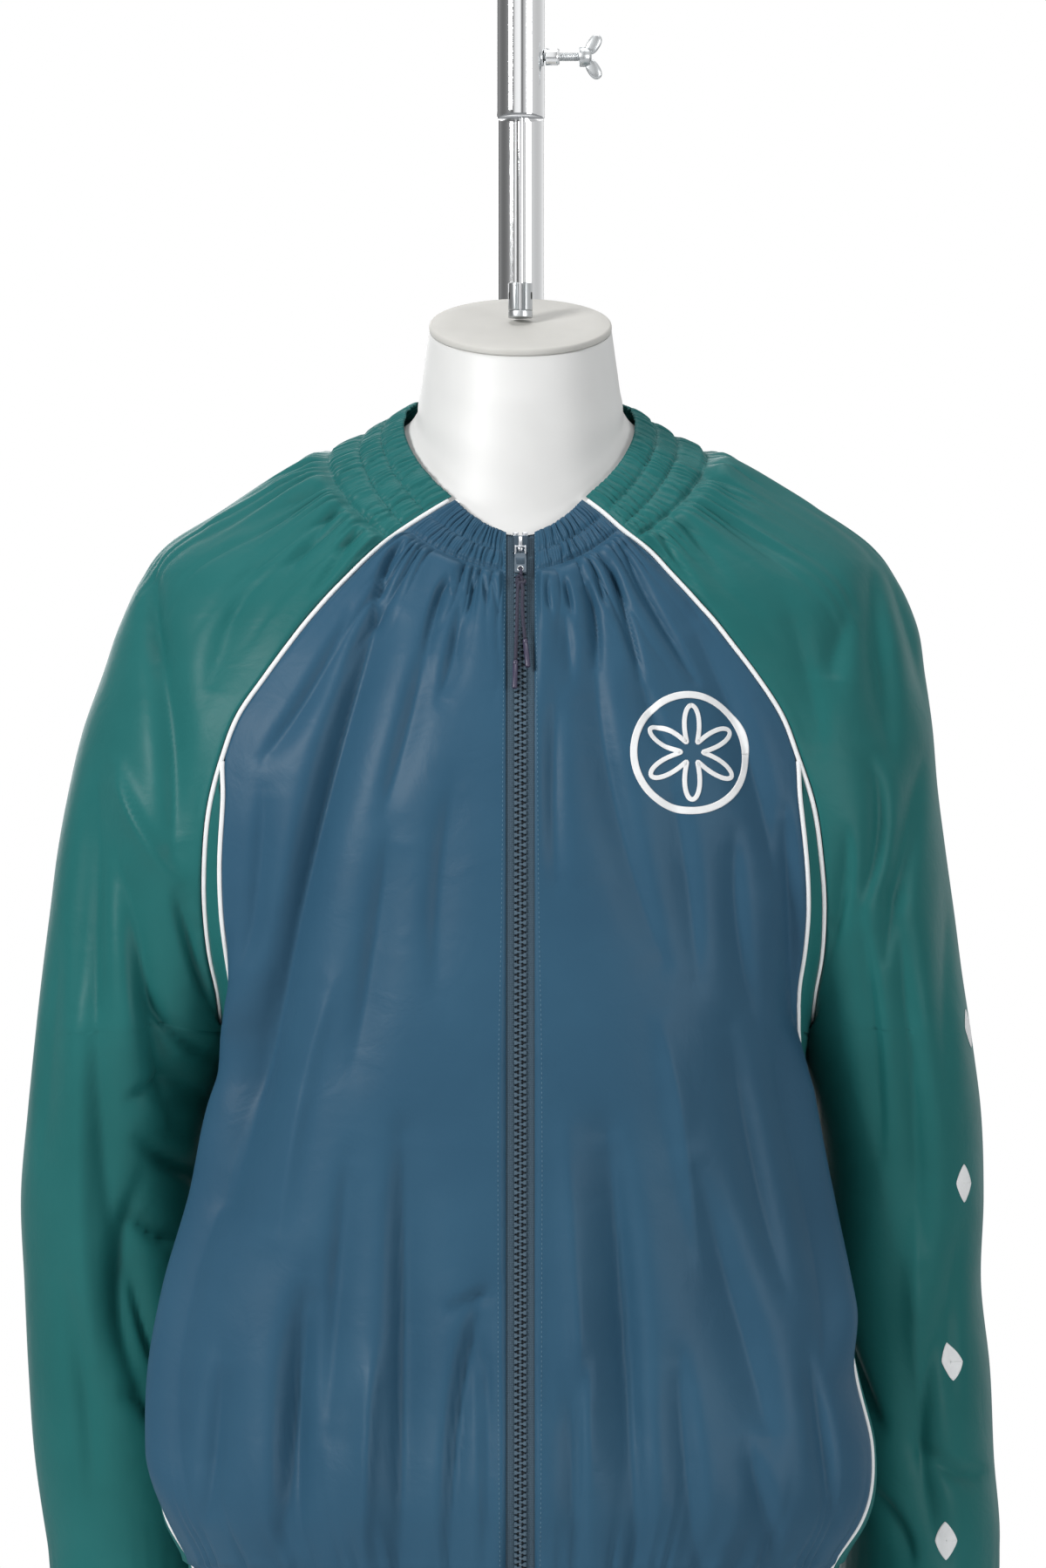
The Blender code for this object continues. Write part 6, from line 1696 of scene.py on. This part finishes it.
FORM_SIDES = 112


def form_rings(heights):
    """Superellipse rings from the table: |x/a|^p + |y/b|^p = 1 with the cloth's saddle in Z."""
    heights = np.asarray(heights, float)[:, None]
    half, front, back = (through(FORM, name, heights)
                         for name in ("half_width", "front_y", "back_y"))
    power = FORM_POWER_TOP + (FORM_POWER_LOW - FORM_POWER_TOP) * smooth((1.42 - heights) / 0.1)
    power = power + (2.0 - power) * smooth((heights - NECK_H + 0.004) / 0.008)
    turn = np.linspace(0, 2 * math.pi, FORM_SIDES, endpoint=False)
    c, s = np.cos(turn), np.sin(turn)
    x = half * np.sign(c) * np.abs(c) ** (2 / power)
    y = np.where(s < 0, -front, back) * np.sign(s) * np.abs(s) ** (2 / power)
    garment = np.clip(heights, UNDERARM_H, NECK_H)
    on_neck = smooth((heights - NECK_H) / 0.02)
    z = heights + (ring_height(garment, y) - garment) * (1 - on_neck) + CAP_TILT * y * on_neck
    z = z - FORM_SINK * smooth((NECK_H + 0.004 - heights) / 0.008)
    return np.stack([x, y, z], -1)


NECK_TOP = FORM["h"][0]
rings = form_rings(runs(NECK_TOP - 0.0012, (1.455, 22), (1.40, 34), (1.30, 26), (0.72, 80),
                        (0.684, 10)))
neck_ring = form_rings([NECK_TOP])[0]
middle = neck_ring.mean(axis=0)
lip = [middle + (neck_ring - middle) * (1 - 0.02 * k) for k in (1.0, 0.3)]
under = [rings[-1] * (k, k, 1) - (0, 0, d)
         for k, d in ((0.985, 0.0025), (0.95, 0.0037), (0.88, 0.004))]
solid("torso_shell", np.concatenate([lip, rings, under]), SHELL, 55.0, stands_for="torso_form")
UP = np.array((0.0, -CAP_TILT, 1.0)) / math.hypot(1, CAP_TILT)
CAP_GAP, CAP_THICK = 0.0003, 0.004
# The cap's profile: height over its underside and size against the neck.
CAP_PROFILE = ((0.0, 0.993), (0.0004, 0.999), (0.0012, 1.001), (0.0024, 1.0), (0.0032, 0.996),
               (0.0037, 0.988), (CAP_THICK, 0.975), (CAP_THICK, 0.80), (CAP_THICK, 0.40),
               (CAP_THICK, 0.12))
cap_base = neck_ring + UP * CAP_GAP
middle = cap_base.mean(axis=0)
cap_rings = np.stack([middle + (cap_base - middle) * k + UP * up for up, k in CAP_PROFILE])
solid("neck_disc", cap_rings, CAP, 55.0, stands_for="neck_cap")
print("form", rings.shape)

# %% [markdown]
# ## Stand
# A chromed tube rises behind the form, bends over it and holds a thin rod with a wing screw. The
# rod stands in a slotted coupling on the neck. All of it is turned: a profile carried round an
# axis, or a ring carried along the bent line of the tube.

# %% Pole
ROD_RADIUS, TUBE_RADIUS, BORE_RADIUS, BORE_TOP_Z = 0.0025, 0.014, 0.0028, 1.740
TUBE_END_Z, SCREW_Z, BEND_Z, BEND_RADIUS, ROD_TOP_Z = 1.6205, 1.6565, 1.745, 0.09, 1.685
BASE_RADIUS, BASE_THICK, BASE_Y, POLE_FOOT_Z = 0.178, 0.010, 0.055, 0.0103
POLE_Y = 2 * BEND_RADIUS
UPWARD, POLE_SIDES = (0, 0, 1), 56
# Height and radius from the bore's blind end, round the tube's rounded lip, up its outside.
bore = np.array([(BORE_TOP_Z, BORE_RADIUS), (TUBE_END_Z + 0.0008, BORE_RADIUS),
                 (TUBE_END_Z, BORE_RADIUS + 0.0006), (TUBE_END_Z, TUBE_RADIUS - 0.0012),
                 (TUBE_END_Z + 0.0003, TUBE_RADIUS - 0.0004), (TUBE_END_Z + 0.0011, TUBE_RADIUS)]
                + [(z, TUBE_RADIUS) for z in np.linspace(TUBE_END_Z + 0.004, BEND_Z, 12)])
bend = np.linspace(0, math.pi, 41)[1:]
fall = np.linspace(BEND_Z, POLE_FOOT_Z, 30)[1:]
turned = np.concatenate([np.zeros(len(bore)), bend, np.full(len(fall), math.pi)])
y = BEND_RADIUS * (1 - np.cos(turned))
z = np.concatenate([bore[:, 0], BEND_Z + BEND_RADIUS * np.sin(bend), fall])
radius = np.concatenate([bore[:, 1], np.full(len(bend) + len(fall), TUBE_RADIUS)])
flat = np.zeros_like(y)
rings = ring_stack(np.column_stack([flat, y, z]), radius, radius, RIGHT,
                   np.column_stack([flat, np.cos(turned), -np.sin(turned)]), 2.0, POLE_SIDES)
solid("bent_pole", rings, CHROME, body="stand", stands_for="stand_pole")
revolve("pole_weld", (0, POLE_Y, BASE_THICK + 0.0001), UPWARD,
        rounded([(0, 0.0141), (0, 0.0172), (0.0022, 0.0162), (0.0042, 0.0141)], 0.001), CHROME,
        body="stand")
plate = [(0, 0.001), (0, BASE_RADIUS - 0.001), (0.001, BASE_RADIUS),
         (BASE_THICK - 0.0025, BASE_RADIUS), (BASE_THICK, BASE_RADIUS - 0.0025),
         (BASE_THICK, 0.001)]
revolve("base_plate", (0, BASE_Y, 0), UPWARD, rounded(plate, 0.0012), BASE_STEEL, 96,
        body="stand", stands_for="stand_base")
print("pole", len(rings))

# %% Rod and coupling
COUPLING_RADIUS, COUPLING_HIGH, COUPLING_FLOOR, HOLE_RISE = 0.007, 0.020, 0.004, 0.0125
REST_GAP = 0.0003
cap_top = NECK_TOP + (CAP_GAP + CAP_THICK) * math.sqrt(1 + CAP_TILT ** 2)
coupling_foot = cap_top + CAP_TILT * COUPLING_RADIUS + REST_GAP
rod_foot = coupling_foot + COUPLING_FLOOR + REST_GAP
long = ROD_TOP_Z - rod_foot
revolve("hanging_bar", (0, 0, rod_foot), UPWARD,
        rounded([(0, 0.0004), (0, ROD_RADIUS), (long / 2, ROD_RADIUS), (long, ROD_RADIUS),
                 (long, 0.0004)], 0.0006), CHROME, 32, stands_for="hanging_rod")
revolve("coupling_foot", (0, 0, coupling_foot), UPWARD,
        rounded([(0, 0.0005), (0, COUPLING_RADIUS), (COUPLING_FLOOR - 0.0001, COUPLING_RADIUS),
                 (COUPLING_FLOOR - 0.0001, 0.0005)], 0.0005), SATIN, stands_for="rod_coupling")


def prong(name, start, end):
    """Part of a tube's wall between two angles: section (r, z) with rounded corners, turned."""
    inner, outer = ROD_RADIUS + 0.0004, COUPLING_RADIUS
    low, high = coupling_foot + COUPLING_FLOOR, coupling_foot + COUPLING_HIGH
    section = rounded([((inner + outer) / 2, low), (outer, low), (outer, high), (inner, high),
                       (inner, low), ((inner + outer) / 2, low)], 0.0006)[:-1]
    turn = np.radians(np.linspace(start, end, 29))[:, None]
    rings = np.stack([section[:, 0] * np.cos(turn), section[:, 0] * np.sin(turn),
                      np.broadcast_to(section[:, 1], (len(turn), len(section)))], -1)
    return solid(name, rings, SATIN)


prong("coupling_prong_left", 96, 245)
prong("coupling_prong_right", -65, 84)
# Each hole is a near-black plug in the wall: painted shade, not an opening.
for angle, name in ((-24, "coupling_hole_shade_right"), (204, "coupling_hole_shade_left")):
    way = np.array((math.cos(math.radians(angle)), math.sin(math.radians(angle)), 0))
    place = np.array((0, 0, coupling_foot + HOLE_RISE)) + way * (COUPLING_RADIUS - 0.0009)
    bar(name, place, way, 0.00105, 0.0008, 0.0022, np.cross(way, UPWARD), UPWARD, HOLE_SHADE, 2.5,
        0.0001, 18)
print("rod", round(long, 4))

# %% Clamp and wing screw
SCREW_RADIUS, SCREW_TIP, BOSS_RADIUS, BOSS_START = 0.0025, 0.0028, 0.005, 0.0144
THREAD_PITCH, THREAD_DEEP, THREAD_LEAD = 0.0008, 0.00028, 0.0006
HUB_START, HUB_LONG, HUB_RADIUS = 0.0335, 0.0075, 0.0058
WING_LEAN, WING_OUT, WING_POWER = 32, 0.0085, 2.4
WING = (0.0075, 0.0125, 0.0032)           # a blade's width, length and thickness
revolve("clamp_boss", (BOSS_START, 0, SCREW_Z), RIGHT,
        rounded([(0, 0.0028), (0, BOSS_RADIUS), (0.0066, BOSS_RADIUS), (0.0081, 0.0042),
                 (0.0081, 0.0028)], 0.0004), CHROME, 40, body="stand", stands_for="screw_boss")
reach = HUB_START - SCREW_TIP
shank = np.linspace(0, reach, 260)
thread = SCREW_RADIUS - THREAD_DEEP * (0.5 + 0.5 * np.cos(2 * math.pi * shank / THREAD_PITCH))
thread = np.where(shank < THREAD_LEAD, SCREW_RADIUS * 0.72, thread)
hub = np.array([(0, 0.0040), (0.0004, HUB_RADIUS - 0.0004), (0.0010, HUB_RADIUS),
                (0.0034, HUB_RADIUS), (0.0060, 0.0050), (0.0071, 0.0042), (0.0075, 0.0034)])
profile = np.concatenate([[(0, 0.0006)], np.column_stack([shank, thread]), hub + (reach, 0),
                          [(reach + HUB_LONG, 0.0006)]])
screw = revolve("threaded_screw", (SCREW_TIP, 0, SCREW_Z), RIGHT, profile, SATIN, 32, body="wing",
                stands_for="wing_screw")


def wing_blade(name, way):
    """Rounded blade: |u/a|^2.4 + |v/b|^2.4 = 1 in its plane, its thickness as a pillow's."""
    lean = math.radians(WING_LEAN * way)
    along = np.array((math.sin(lean) * way, 0, math.cos(lean) * way))
    across = np.array((math.cos(lean), 0, -math.sin(lean)))
    middle = np.array((HUB_START + HUB_LONG * 0.55, 0, SCREW_Z)) + along * WING_OUT
    lat = np.linspace(-math.pi / 2 + 0.04, math.pi / 2 - 0.04, 21)
    wide, long = (0.5 * size * np.cos(lat) ** 0.8 for size in WING[:2])
    path = middle + np.outer(0.5 * WING[2] * np.sin(lat), (0, 1, 0))
    rings = ring_stack(path, wide, long, across, along, WING_POWER, 36)
    return solid(name, rings, SATIN, 60.0, body="wing")


wing_blade("wing_blade_up", 1)
wing_blade("wing_blade_down", -1)
print("screw", len(screw.data.vertices))

# %% [markdown]
# ## Bounds of the scene
# A gathered panel was cut wider and longer than it looks. Here only the box round every shown
# piece, the floor left out, is found and printed.

# %% Bounds of the scene
low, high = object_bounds()
print("scene box", [round(v, 3) for v in low], [round(v, 3) for v in high])
